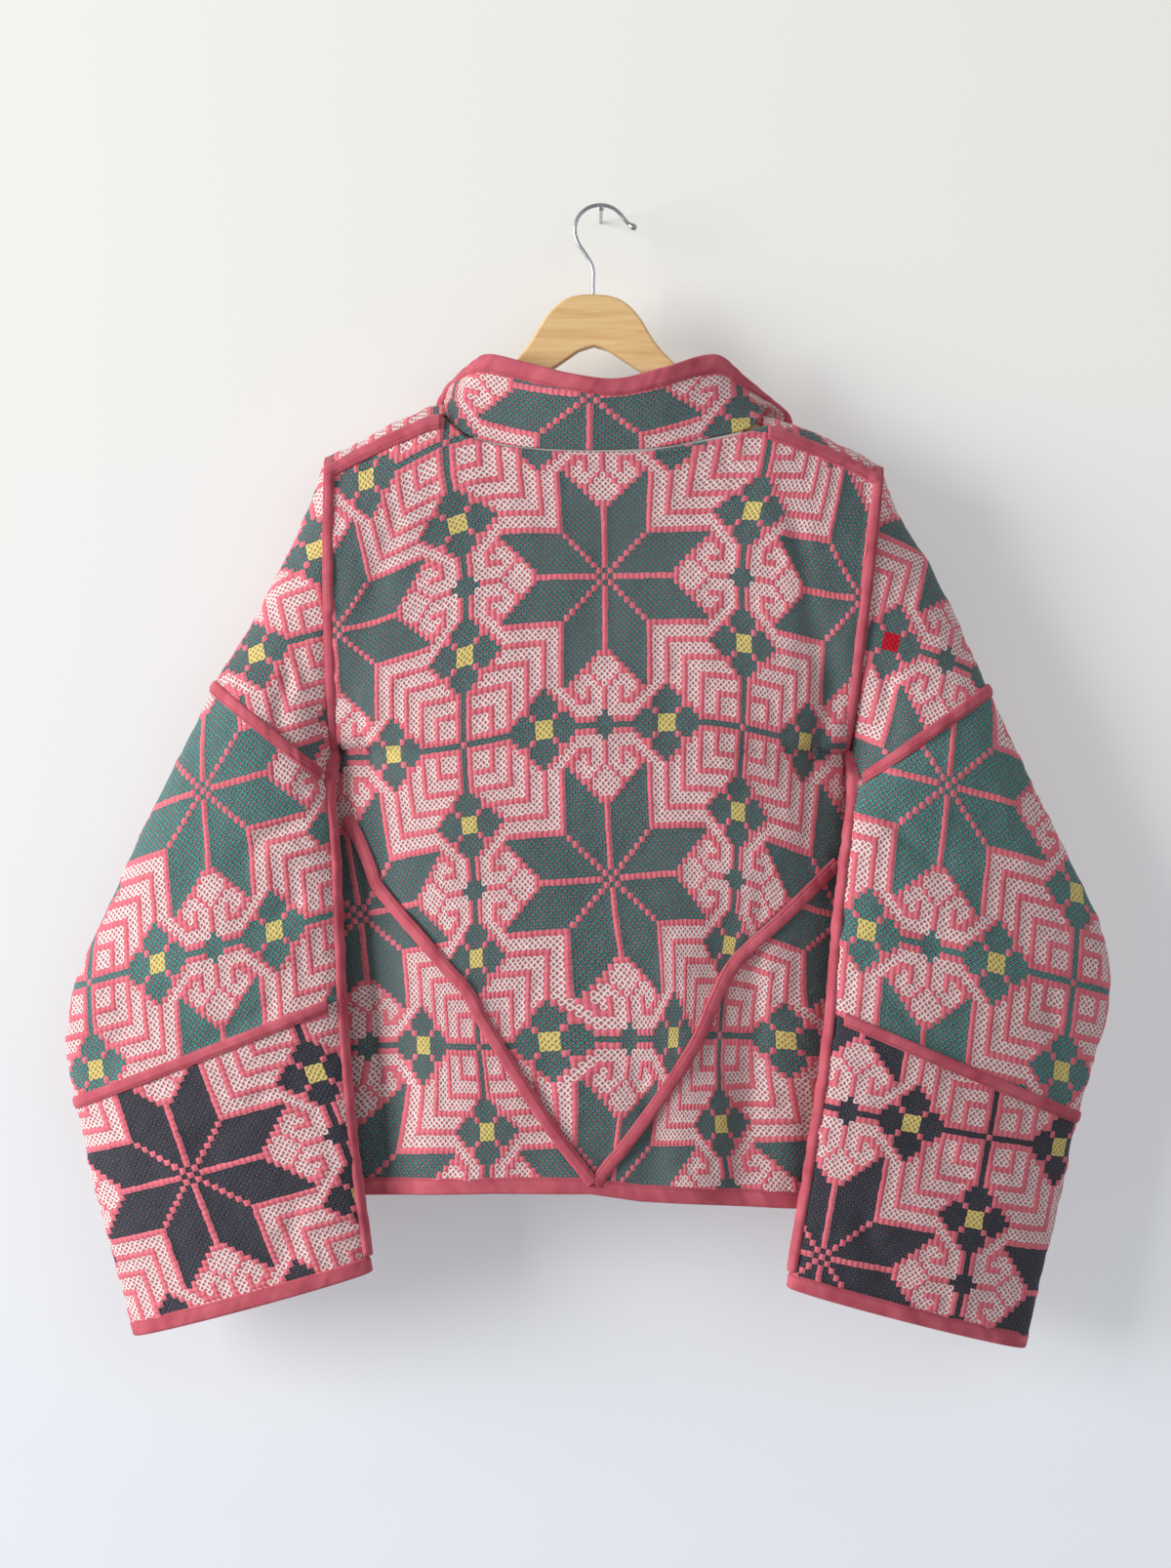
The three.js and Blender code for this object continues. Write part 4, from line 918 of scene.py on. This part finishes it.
def wall_material():
    material, tree, shader, place = new_material("plaster_wall")
    broad = tree.noise(place, 2.2, 3.0)
    grain = tree.noise(place, 180.0, 4.0, 0.6)
    # Painted light: the wall's colour is cooler near the floor and warmer near the ceiling, as the
    # room's light is there.
    height = tree.span(tree.parts(place)[2], -1.1, 0.1)
    tint = tree.colour(paint(205, 210, 218), paint(211, 209, 202), height)
    # Painted light: the wall glows a little of its own, standing in for the bright room's light
    # that it would send on, and this lightens the shadows on it.
    painted_room_light = tree.colour((0.94, 0.98, 1.05, 1.0), (0.98, 0.975, 0.95, 1.0), height)
    tree.fill(shader, {
        "Base Color": tree.colour(tint, paint(213, 211, 208), tree.math("MULTIPLY", broad, 0.5)),
        "Normal": tree.bump(grain, 0.2, 0.4 * MM), "Roughness": 0.92,
        "Emission Color": painted_room_light, "Emission Strength": WALL_PAINTED_LIGHT})
    # The wall is clear from behind, so that the jacket's chest side can be looked at.
    output = material.node_tree.nodes["Material Output"]
    clear = tree.add("ShaderNodeBsdfTransparent").outputs[0]
    behind = tree.add("ShaderNodeNewGeometry").outputs["Backfacing"]
    both = tree.add("ShaderNodeMixShader", {0: behind, 1: shader.outputs[0], 2: clear}).outputs[0]
    tree.put(output.inputs["Surface"], both)
    return material


CLOTH = cloth_material("cloth_body", TEAL_STOPS)
CLOTH_RED = cloth_material("cloth_red_flower", TEAL_STOPS, RED_CELL)
CLOTH_BRIGHT = cloth_material("cloth_bright", BRIGHT_TEAL_STOPS)
CLOTH_DARK = cloth_material("cloth_dark", DARK_STOPS)
TAPE = tape_material("binding_tape")
WOOD, STEEL, PLASTER = wood_material(), steel_material(), wall_material()


# ------------------------------------------------------------------ cloth pieces
def lay_cloth(name, node, material, p, n, fold, relief, cells, closed=False):
    """Cloth whose two faces follow the fold, with the relief on its outer face only."""
    outer = p + n * (fold + relief)[..., None]
    obj = shell(name, outer, p + n * (fold - WALL)[..., None], {"cells": cells}, closed)
    obj.data.materials.append(material)
    declare([node])


def back_piece():
    chart = bent_chart(BACK_MARKS)
    u, v = np.meshgrid(np.linspace(-1, 1, ticks(438)), np.linspace(0, 1, ticks(624)))
    p, n = back_surface(u, v)
    cu, cv = chart(*on_plane(p))
    edge = smooth((1 - np.abs(u)) / 0.04) * smooth(v / 0.012) * smooth((1 - v) / 0.006)
    fold = creases(p, BACK_CREASES, 5) + gathers(p, (1 - np.abs(u)) / 0.09, 7)
    # Under the collar the seam allowances make a ridge, held by a row of stitches.
    below = back_top(u)[..., 2] - p[..., 2]
    in_neck = smooth((NECK_U - np.abs(u)) / 0.02)
    ridge = 1.1 * np.exp(-((below - 3.2) / 2.2) ** 2) - 1.2 * np.exp(-((below - 7.2) / 0.9) ** 2)
    relief = cloth_relief(cu, cv, p, 1) * edge + ridge * in_neck * smooth(v * 40)
    lay_cloth("cloth_back", "back_panel", CLOTH, p, n, fold * edge, relief, (cu, cv))


def front_piece(side):
    sign = HOLES[side]["side"]
    u, v = np.meshgrid(np.linspace(CENTRE_U, 1, ticks(230, pitch=FRONT_PITCH)) * sign,
                       np.linspace(0, 1, ticks(700, pitch=FRONT_PITCH)))
    p, n = front_surface(u, v)
    # The same repeat as on the back, counted up from cell 60 at the hem.
    cu, cv = p[..., 0] / FRONT_CELL + 3, 60 - lengths(p.swapaxes(0, 1)).T / CELL
    edge = smooth((1 - np.abs(u)) / 0.05) * smooth(v / 0.012) * smooth((1 - v) / 0.012)
    soft = [((sign * x0, z0), (sign * x1, z1), depth, half)
            for (x0, z0), (x1, z1), depth, half in FRONT_CREASES]
    lay_cloth(f"cloth_front_{side}", f"front_{side}", CLOTH, p, n,
              creases(p, soft, 15) * edge, cloth_relief(cu, cv, p, 11) * edge, (cu, cv))


def sleeve_cells(side, name, p, middle, direction, a):
    """Pattern of a sleeve: its tube is laid flat in the plane of view before it is charted."""
    step = np.linalg.norm(np.diff(p, axis=1, append=p[:, :1]), axis=-1)
    run = np.cumsum(step, axis=1) - step
    quarter = np.array([np.interp(math.pi / 2, a[0], line) for line in run])[:, None]
    return SLEEVE_CHARTS[side, name](*on_plane(middle - direction * (run - quarter)[..., None]))


def sleeve_piece(side, name, start, end, length, material):
    a, t = np.meshgrid(np.linspace(0, FULL_TURN, ticks(470) - 1, endpoint=False),
                       np.linspace(start, end, ticks(length)))
    p, n = sleeve_surface(side, a, t)
    seam, middle, fold_line = (sleeve_point(side, 0 * t[:, :1] + turn, t[:, :1])
                               for turn in (0, math.pi / 2, math.pi))
    cu, cv = sleeve_cells(side, name, p, middle, unit(seam - fold_line), a)
    share = (t - start) / (end - start)
    from_seam = np.minimum(a, FULL_TURN - a)
    edge = smooth(share / 0.03) * smooth((1 - share) / 0.03) * smooth(from_seam / 0.1)
    facing = smooth(np.sin(a) * 3 + 0.5)
    seed = 21 + 3 * len(name) + (HOLES[side]["side"] > 0)
    fold = creases(p, SLEEVE_CREASES[side], seed) * (0.5 + 0.5 * facing)
    fold = (fold + gathers(p, from_seam / 0.5, seed)) * edge
    lay_cloth(f"cloth_sleeve_{name}_{side}", f"sleeve_{name}_{side}", material, p, n, fold,
              cloth_relief(cu, cv, p, seed) * edge, (cu, cv), closed=True)


def collar_piece():
    chart = bent_chart(COLLAR_MARKS)
    u, v = np.meshgrid(np.linspace(0, COLLAR_END, ticks(640)),
                       np.linspace(0, 1, ticks(60, pitch=1.9)))
    p, n = collar_surface(u, v)
    # The front half of the band is charted as if it lay flat beside the back half.
    run = lengths(p)
    run = run - np.array([np.interp(COLLAR_MIDDLE, u[0], line) for line in run])[:, None]
    hidden = smooth((np.abs(run) - 120) / 30)
    cu, cv = chart(*on_plane(p))
    cu, cv = mix(cu, run / CELL, hidden), mix(cv, (1 - v) * 11 - 2, hidden)
    edge = smooth(v / 0.03) * smooth((1 - v) / 0.03)
    lay_cloth("cloth_collar", "collar", CLOTH, p, n, 0 * v,
              0.8 * cloth_relief(cu, cv, p, 41) * edge, (cu, cv))


back_piece()
for side in SIDES:
    front_piece(side)
    upper = CLOTH_RED if side == "right" else CLOTH
    sleeve_piece(side, "upper", 0, UPPER_RING, 200, upper)
    sleeve_piece(side, "mid", UPPER_RING, LOWER_RING, 300, CLOTH_BRIGHT)
    sleeve_piece(side, "cuff", LOWER_RING, CUFF_END, 200, CLOTH_DARK)
collar_piece()


# ------------------------------------------------------------------ tapes
def station_length(side, a, t):
    """Millimetres to one station along a sleeve."""
    low, high = np.clip(t - 0.05, 0, CUFF_END), np.clip(t + 0.05, 0, CUFF_END)
    gap = np.linalg.norm(sleeve_point(side, a, high) - sleeve_point(side, a, low), axis=-1)
    return gap / (high - low)


def puckers(run, w, seed):
    """Small slanted gathers along a tape."""
    slant = run + 3.5 * w
    return (0.5 * noise(slant, 0 * run + seed, 5.5, seed)
            + 0.45 * noise(slant, w * 3, 13, seed + 1)
            + 0.5 * np.minimum(noise(slant * 1.2, w * 2 + 5, 21, seed + 2), 0))


def applied_tape(part, p, n, closed=False, rise=2.4, roll=0.42, seed=1, sink=0.4, lean=0.0):
    """Low rounded band over a grid of surface points, with BAND_ROWS rows from side to side.

    It is rise high; the lower its roll, the fuller its sides; lean shifts its outer face.
    """
    w = np.linspace(-1, 1, BAND_ROWS)[:, None] + 0 * p[..., 0]
    run = lengths(p[BAND_ROWS // 2]) + 0 * w
    crown = np.clip(1 - np.abs(w) ** 2.6, 0, 1) ** roll
    dent = -0.9 * np.exp(-(((w - STITCH_ROW) / 0.1) ** 2))
    height = 0.7 + rise * crown + (dent + puckers(run, w, seed)) * np.clip(crown * 1.6, 0, 1)
    outer, inner = p + n * height[..., None] + lean, p - n * sink
    obj = shell(f"tape_band_{part}", outer, inner, {"tape": (run, w)}, closed, skip=2)
    obj.data.materials.append(TAPE)
    declare([f"tape_{part}"])


def edge_binding(part, inside, edge, closed=False, rise=1.5, seed=1,
                 gather=0.8):
    """Tape folded over a raw edge.

    inside and edge are lines on the cloth, points with normals, as far apart as it is wide.
    """
    inside, (edge, n) = inside[0], edge
    out, width, run = unit(edge - inside), np.linalg.norm(edge - inside, axis=-1), lengths(edge)
    half = WALL / 2
    # One turn of the tape: how far back from the edge, which face, and -1 to 1 across it.
    face_rows = [(1 - 0.5 * (s + 1), 1, s) for s in np.linspace(-1, 1, 9)]
    fold_rows = [(-math.sin(a), math.cos(a), 1) for a in np.linspace(0, math.pi, 7)[1:-1]]
    profile = face_rows + fold_rows + [(back, -1, s) for back, _, s in reversed(face_rows)]
    rings = []
    for back, face, s in profile:
        covers = back > 0
        curl = rise * (1 - abs(s) ** 6) ** 0.5 if covers else rise
        dent = 0.75 * math.exp(-(((-s - STITCH_ROW) / 0.13) ** 2)) if covers else 0
        lift = (half + 0.25 + curl - dent) * face
        lift = lift + face * puckers(run, -s + 0 * run, seed) * gather
        reach = back * (width if covers else half + rise) + 0 * run
        rings.append(edge - out * reach[:, None] + n * (lift - half)[:, None])
    rings = np.stack(rings)
    w = -np.array([s for _, _, s in profile])[:, None] + 0 * run
    numbers = np.arange(w.size).reshape(w.shape)
    faces = grid_faces(numbers, close_rows=True, close_columns=closed)
    quads = len(faces)
    if not closed:
        faces += [numbers[:, 0].tolist(), numbers[::-1, -1].tolist()]
    positions = rings.reshape(-1, 3)
    chart = np.stack([run + 0 * w, w], axis=-1).reshape(-1, 2)
    faces = facing_out(positions, faces, quads)
    obj = mesh_object(f"tape_bound_{part}", positions, faces, {"tape": chart})
    obj.data.materials.append(TAPE)
    declare([f"tape_{part}"])


# How far the armhole's tape lies over the body's side of the seam: height, distance.
ARMHOLE_SHIFT = {"left": [(-446, 0.0), (-206, 5.0)], "right": [(-446, 6.0), (-214, 3.0)]}
SLEEVE_COLUMN = FULL_TURN / 28   # the ring tapes' ends are given in these steps round the sleeve


def sleeve_tapes(side, seed):
    sign = HOLES[side]["side"]
    whole = np.linspace(0, FULL_TURN, 232, endpoint=False)
    ring = sleeve_point(side, whole, 0 * whole)
    radial = hole_radial(side, ring)
    outward = unit(np.cross(radial, unit(np.roll(ring, -1, axis=0) - np.roll(ring, 1, axis=0))))
    outward = outward * np.sign(outward[:, :1] * sign)
    off = (np.linspace(0, 1, BAND_ROWS)[:, None] - 0.5) * ARMHOLE_TAPE
    off = (off - read(ARMHOLE_SHIFT[side], ring[:, 2]))[..., None]
    # The band is flat where the shoulder's tape lies over it.
    rise = 4.8 - 3.0 * np.exp(-(((ring[:, 2] - HOLES[side]["top_z"]) / 9) ** 2))
    applied_tape(f"armhole_{side}", ring + outward * off, radial + 0 * off, True, rise, 0.5, seed,
                 sink=1.5)
    for name, station in (("upper", UPPER_RING), ("lower", LOWER_RING)):
        a = np.linspace(1.9 * SLEEVE_COLUMN, 26.85 * SLEEVE_COLUMN, ticks(440, 2))
        half = np.minimum(TAPE_WIDTH / 2 / station_length(side, a, station + 0 * a), 0.45)
        w = np.linspace(-1, 1, BAND_ROWS)[:, None]
        p, n = sleeve_surface(side, a, station + w * half)
        applied_tape(f"{name}_ring_{side}", p, n, rise=2.3, seed=seed + 2)
    last = station_length(side, np.array(0.0), np.array(CUFF_END - 0.1))
    t = np.linspace(0.5, CUFF_END - (TAPE_WIDTH + 1) / last, ticks(470, 2))
    p, n = sleeve_surface(side, np.linspace(0.24, -0.26, BAND_ROWS)[:, None], t)
    # The tape bunches towards the body where it meets the armhole's tape.
    bunch = UNDERARM_BUNCH * np.exp(-(((p[..., 2] - UNDERARM_Z) / 19) ** 2))
    applied_tape(f"under_sleeve_{side}", p, n, rise=2.9, roll=0.5, seed=seed + 4,
                 lean=vec(-sign * bunch, 0, 0))
    reach = TAPE_WIDTH / station_length(side, whole, CUFF_END - 0.1 + 0 * whole)
    edge_binding(f"cuff_{side}", sleeve_surface(side, whole, CUFF_END - reach),
                 sleeve_surface(side, whole, CUFF_END), True, seed=seed + 6)


# The slanting tapes of the back, x and z from the side to the tip.
SLANTS = {
    "left": [(-205, -500), (-195, -517.5), (-186, -539), (-180, -554), (-162, -576), (-143, -597),
             (-124, -619), (-107, -638), (-90.6, -668), (-44, -741), (-18, -776), (-7, -790)],
    "right": [(191, -536), (168, -558), (145, -580), (108, -614), (92, -641), (76.7, -676),
              (49.5, -719), (18, -762), (6, -776), (-5, -791)],
}
SLANT_ROLL = {"left": 0.36, "right": 0.5}


def back_at(x, z):
    """Back cloth at places given by x and z."""
    low, high = np.full(x.shape, -1.0), np.full(x.shape, 1.0)
    for _ in range(24):
        middle = (low + high) / 2
        left = across(middle, z)[0] < x
        low, high = np.where(left, middle, low), np.where(left, high, middle)
    u = (low + high) / 2
    base = hem_z(u)
    v = (z - base) / (back_top(u)[..., 2] - base)
    return back_surface(np.clip(u, -0.995, 0.995), np.clip(v, 0.003, 0.99))


def slant_tape(side, seed):
    rows = SLANTS[side]
    t = np.linspace(0, len(rows) - 1, ticks(340, 2))
    x, z = (read_smooth(rows, t, k) for k in (0, 1))
    way = unit(np.stack([np.gradient(x), np.gradient(z)], axis=-1))
    off = np.linspace(-1, 1, BAND_ROWS)[:, None] * -HOLES[side]["side"] * TAPE_WIDTH / 2
    p, n = back_at(x - off * way[:, 1], z + off * way[:, 0])
    applied_tape(f"slant_{side}", p + n * 0.9, n, rise=2.6, roll=SLANT_ROLL[side], seed=seed)


def body_tapes():
    row, column = TAPE_WIDTH / 600, TAPE_WIDTH / 289   # a tape's width in v and in u
    u = np.linspace(-0.96, 0.96, ticks(430, 1))
    edge_binding("hem_back", back_surface(u, row * 1.05), back_surface(u, 0), seed=61)
    for side, sign, seed in (("left", -1, 63), ("right", 1, 67)):
        u = sign * np.linspace(0.06, 0.98, ticks(210, 1))
        edge_binding(f"hem_{side}", front_surface(u, row), front_surface(u, 0), seed=seed)
        v = np.linspace(0.005, 0.985, ticks(600, 1, 3.0))
        edge_binding(f"edge_{side}", front_surface(sign * (CENTRE_U + column), v),
                     front_surface(sign * CENTRE_U, v), seed=seed + 1)
        u = sign * np.linspace(0.47, 0.99, ticks(130, 2))
        w = np.linspace(0, 1, BAND_ROWS)[:, None]
        p, n = back_surface(u, 1 - 1.15 * row * w)
        applied_tape(f"shoulder_{side}", p, n, rise=2.6, roll=0.45, seed=seed + 2)
    u = np.linspace(0.05, COLLAR_END - 0.05, ticks(640, 1, 2.0))
    edge_binding("collar", collar_surface(u, 0.79), collar_surface(u, 1), rise=1.4, seed=71,
                 gather=1.5)


for side, seed in (("left", 81), ("right", 95)):
    sleeve_tapes(side, seed)
    slant_tape(side, seed + 9)
body_tapes()


# ------------------------------------------------------------------ hanger, hook and nail
# The wooden body's outline: x, z along the top from left to right, and back along its lower edge.
HANGER_TOP = [
    (-212, -209.5), (-205, -203), (-173, -187.5), (-141, -174), (-122, -172.5), (-106, -160),
    (-93, -147), (-80, -138.5), (-70, -127), (-58, -111), (-45, -90), (-32, -77.5), (-20, -73),
    (-6.5, -72.2), (7.5, -73.5), (20, -79), (32, -91.5), (44, -111), (59, -127.5), (83, -147),
    (106, -166), (123, -177), (147, -184), (179, -195.5), (207, -209), (213, -215)]
HANGER_LOW = [
    (211, -223), (200, -224), (150, -202), (80, -163), (31, -134.5), (6, -118), (-6, -114.5),
    (-18, -118.5), (-39, -133), (-77, -153.5), (-129, -184.5), (-173, -206), (-200, -218),
    (-210, -217)]
HANGER_THICK = 12.0
HANGER_EDGE = 2.2     # radius of its rounded edges
# The wire's middle: x, z, and its thickness as a share of the plain wire's.
HOOK = [
    (-6.6, -71.9, 1), (-6.6, -60, 1), (-6.6, -52, 1), (-8.6, -45.5, 1), (-13.9, -37, 1),
    (-18.8, -29.5, 1), (-21.4, -21.5, 1), (-20.8, -13, 1), (-16.8, -5.6, 1), (-9.6, -0.2, 1),
    (0, 1.65, 1), (9, -0.5, 1), (15.5, -5.6, 1), (20.2, -11.6, 1), (23.2, -14.2, 1),
    (24.4, -15, 1.45), (26.4, -16.4, 1.75), (28.6, -17.9, 1.1)]
WIRE_RADIUS = 1.65
# The nail's radius and y, from its head to the wall.
NAIL_PROFILE = [(0.05, -9.0), (1.6, -8.95), (2.4, -8.6), (2.6, -8.2), (2.5, -7.7), (1.4, -7.4),
                (1.4, WALL_Y), (0.05, WALL_Y)]
NAIL_DROP = 1.7       # its middle lies this far below the hook's inside


def ringed_solid(name, rings, material, node, flat_ends=True):
    """Solid between rings of points, closed by one face at either end."""
    numbers = np.arange(rings.shape[0] * rings.shape[1]).reshape(rings.shape[:2])
    faces = grid_faces(numbers, close_columns=True)
    quads = len(faces)
    faces += [numbers[0, ::-1].tolist(), numbers[-1].tolist()]
    positions = rings.reshape(-1, 3)
    faces = facing_out(positions, faces, quads)
    obj = mesh_object(name, positions, faces, None, range(quads, quads + 2) if flat_ends else ())
    obj.data.materials.append(material)
    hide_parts(node)


def hanger_piece():
    """Wooden body: smoothed outline with rounded edges front and back."""
    t = np.linspace(0, len(HANGER_TOP) - 1, 126)
    top = np.column_stack([read_smooth(HANGER_TOP, t, k) for k in (0, 1)])
    outline = np.vstack([top, HANGER_LOW])
    ahead, behind = np.roll(outline, -1, axis=0), np.roll(outline, 1, axis=0)
    way = unit(unit(ahead - outline) + unit(outline - behind))
    inward = np.stack([way[:, 1], -way[:, 0]], axis=-1)
    front = [(HANGER_EDGE * (1 - math.sin(a)), HANGER_THICK / 2 - HANGER_EDGE * (1 - math.cos(a)))
             for a in np.linspace(0, math.pi / 2, 6)]
    rings = []
    for inset, y in front + [(inset, -y) for inset, y in reversed(front)]:
        flat = outline + inward * inset
        rings.append(vec(flat[:, 0], MID_Y + y, flat[:, 1]))
    ringed_solid("hanger_wood_body", np.stack(rings), WOOD, "hanger_body")


def hook_piece():
    """Round wire, bent in the hanger's plane."""
    t = np.linspace(0, len(HOOK) - 1, 180)
    x, z, share = (read_smooth(HOOK, t, k) for k in range(3))
    path = vec(x, MID_Y, z)
    way = unit(np.gradient(path, axis=0))
    sideways = vec(way[:, 2], 0, -way[:, 0])[:, None]
    turn = np.linspace(0, FULL_TURN, 16, endpoint=False)[:, None]
    rings = path[:, None] + (WIRE_RADIUS * share)[:, None, None] * (
        sideways * np.cos(turn) + np.array([0, 1, 0]) * np.sin(turn))
    ringed_solid("hook_wire", rings, STEEL, "hanger_hook")


def nail_piece():
    radius, y = np.array(NAIL_PROFILE).T[..., None]
    turn = np.linspace(0, FULL_TURN, 24, endpoint=False)
    rings = vec(radius * np.cos(turn), y, radius * np.sin(turn) - NAIL_DROP)
    ringed_solid("nail_steel", rings, STEEL, "wall_nail", flat_ends=False)


hanger_piece()
hook_piece()
nail_piece()


# ------------------------------------------------------------------ wall, lights, camera
def place_in_scene(name, data):
    obj = bpy.data.objects.new(name, data)
    bpy.context.scene.collection.objects.link(obj)
    return obj


def wall():
    y = WALL_Y * MM
    mesh = bpy.data.meshes.new("wall")
    mesh.from_pydata([(-4, y, -6), (4, y, -6), (4, y, 3), (-4, y, 3)], [], [(0, 1, 2, 3)])
    mesh.materials.append(PLASTER)
    place_in_scene("wall", mesh)


def light(name, place, target, size, watts, colour):
    data = bpy.data.lights.new(name, "AREA")
    data.shape = "RECTANGLE"
    data.size, data.size_y = size
    data.energy = watts
    data.color = colour
    obj = place_in_scene(name, data)
    obj.location = place
    obj.rotation_euler = (Vector(target) - Vector(place)).to_track_quat("-Z", "Y").to_euler()


def camera():
    """Level camera at the eye; its view is VIEW[1] units high in the plane through the origin."""
    data = bpy.data.cameras.new("camera")
    data.sensor_fit = "VERTICAL"
    data.sensor_height = SENSOR
    data.lens = SENSOR * -EYE[1] / (VIEW[1] * UNIT)
    data.clip_end = 20.0
    obj = place_in_scene("camera", data)
    obj.location = [k * MM for k in EYE]
    obj.rotation_euler = (math.pi / 2, 0, 0)
    bpy.context.scene.camera = obj


wall()
light("window", (-4.4, -2.2, 0.1), (0.05, 0.0, -0.5), (2.6, 2.8), 280, (1.0, 0.995, 0.985))
light("room", (1.4, -2.4, 0.3), (0.0, 0.0, -0.5), (2.0, 2.0), 11, (0.97, 0.98, 1.0))
camera()
world = bpy.data.worlds.new("room_light")
world.use_nodes = True
background = world.node_tree.nodes["Background"].inputs
background["Color"].default_value = (0.95, 0.97, 1.0, 1.0)
background["Strength"].default_value = 0.3
bpy.context.scene.world = world
bpy.context.scene.view_settings.view_transform = "Standard"
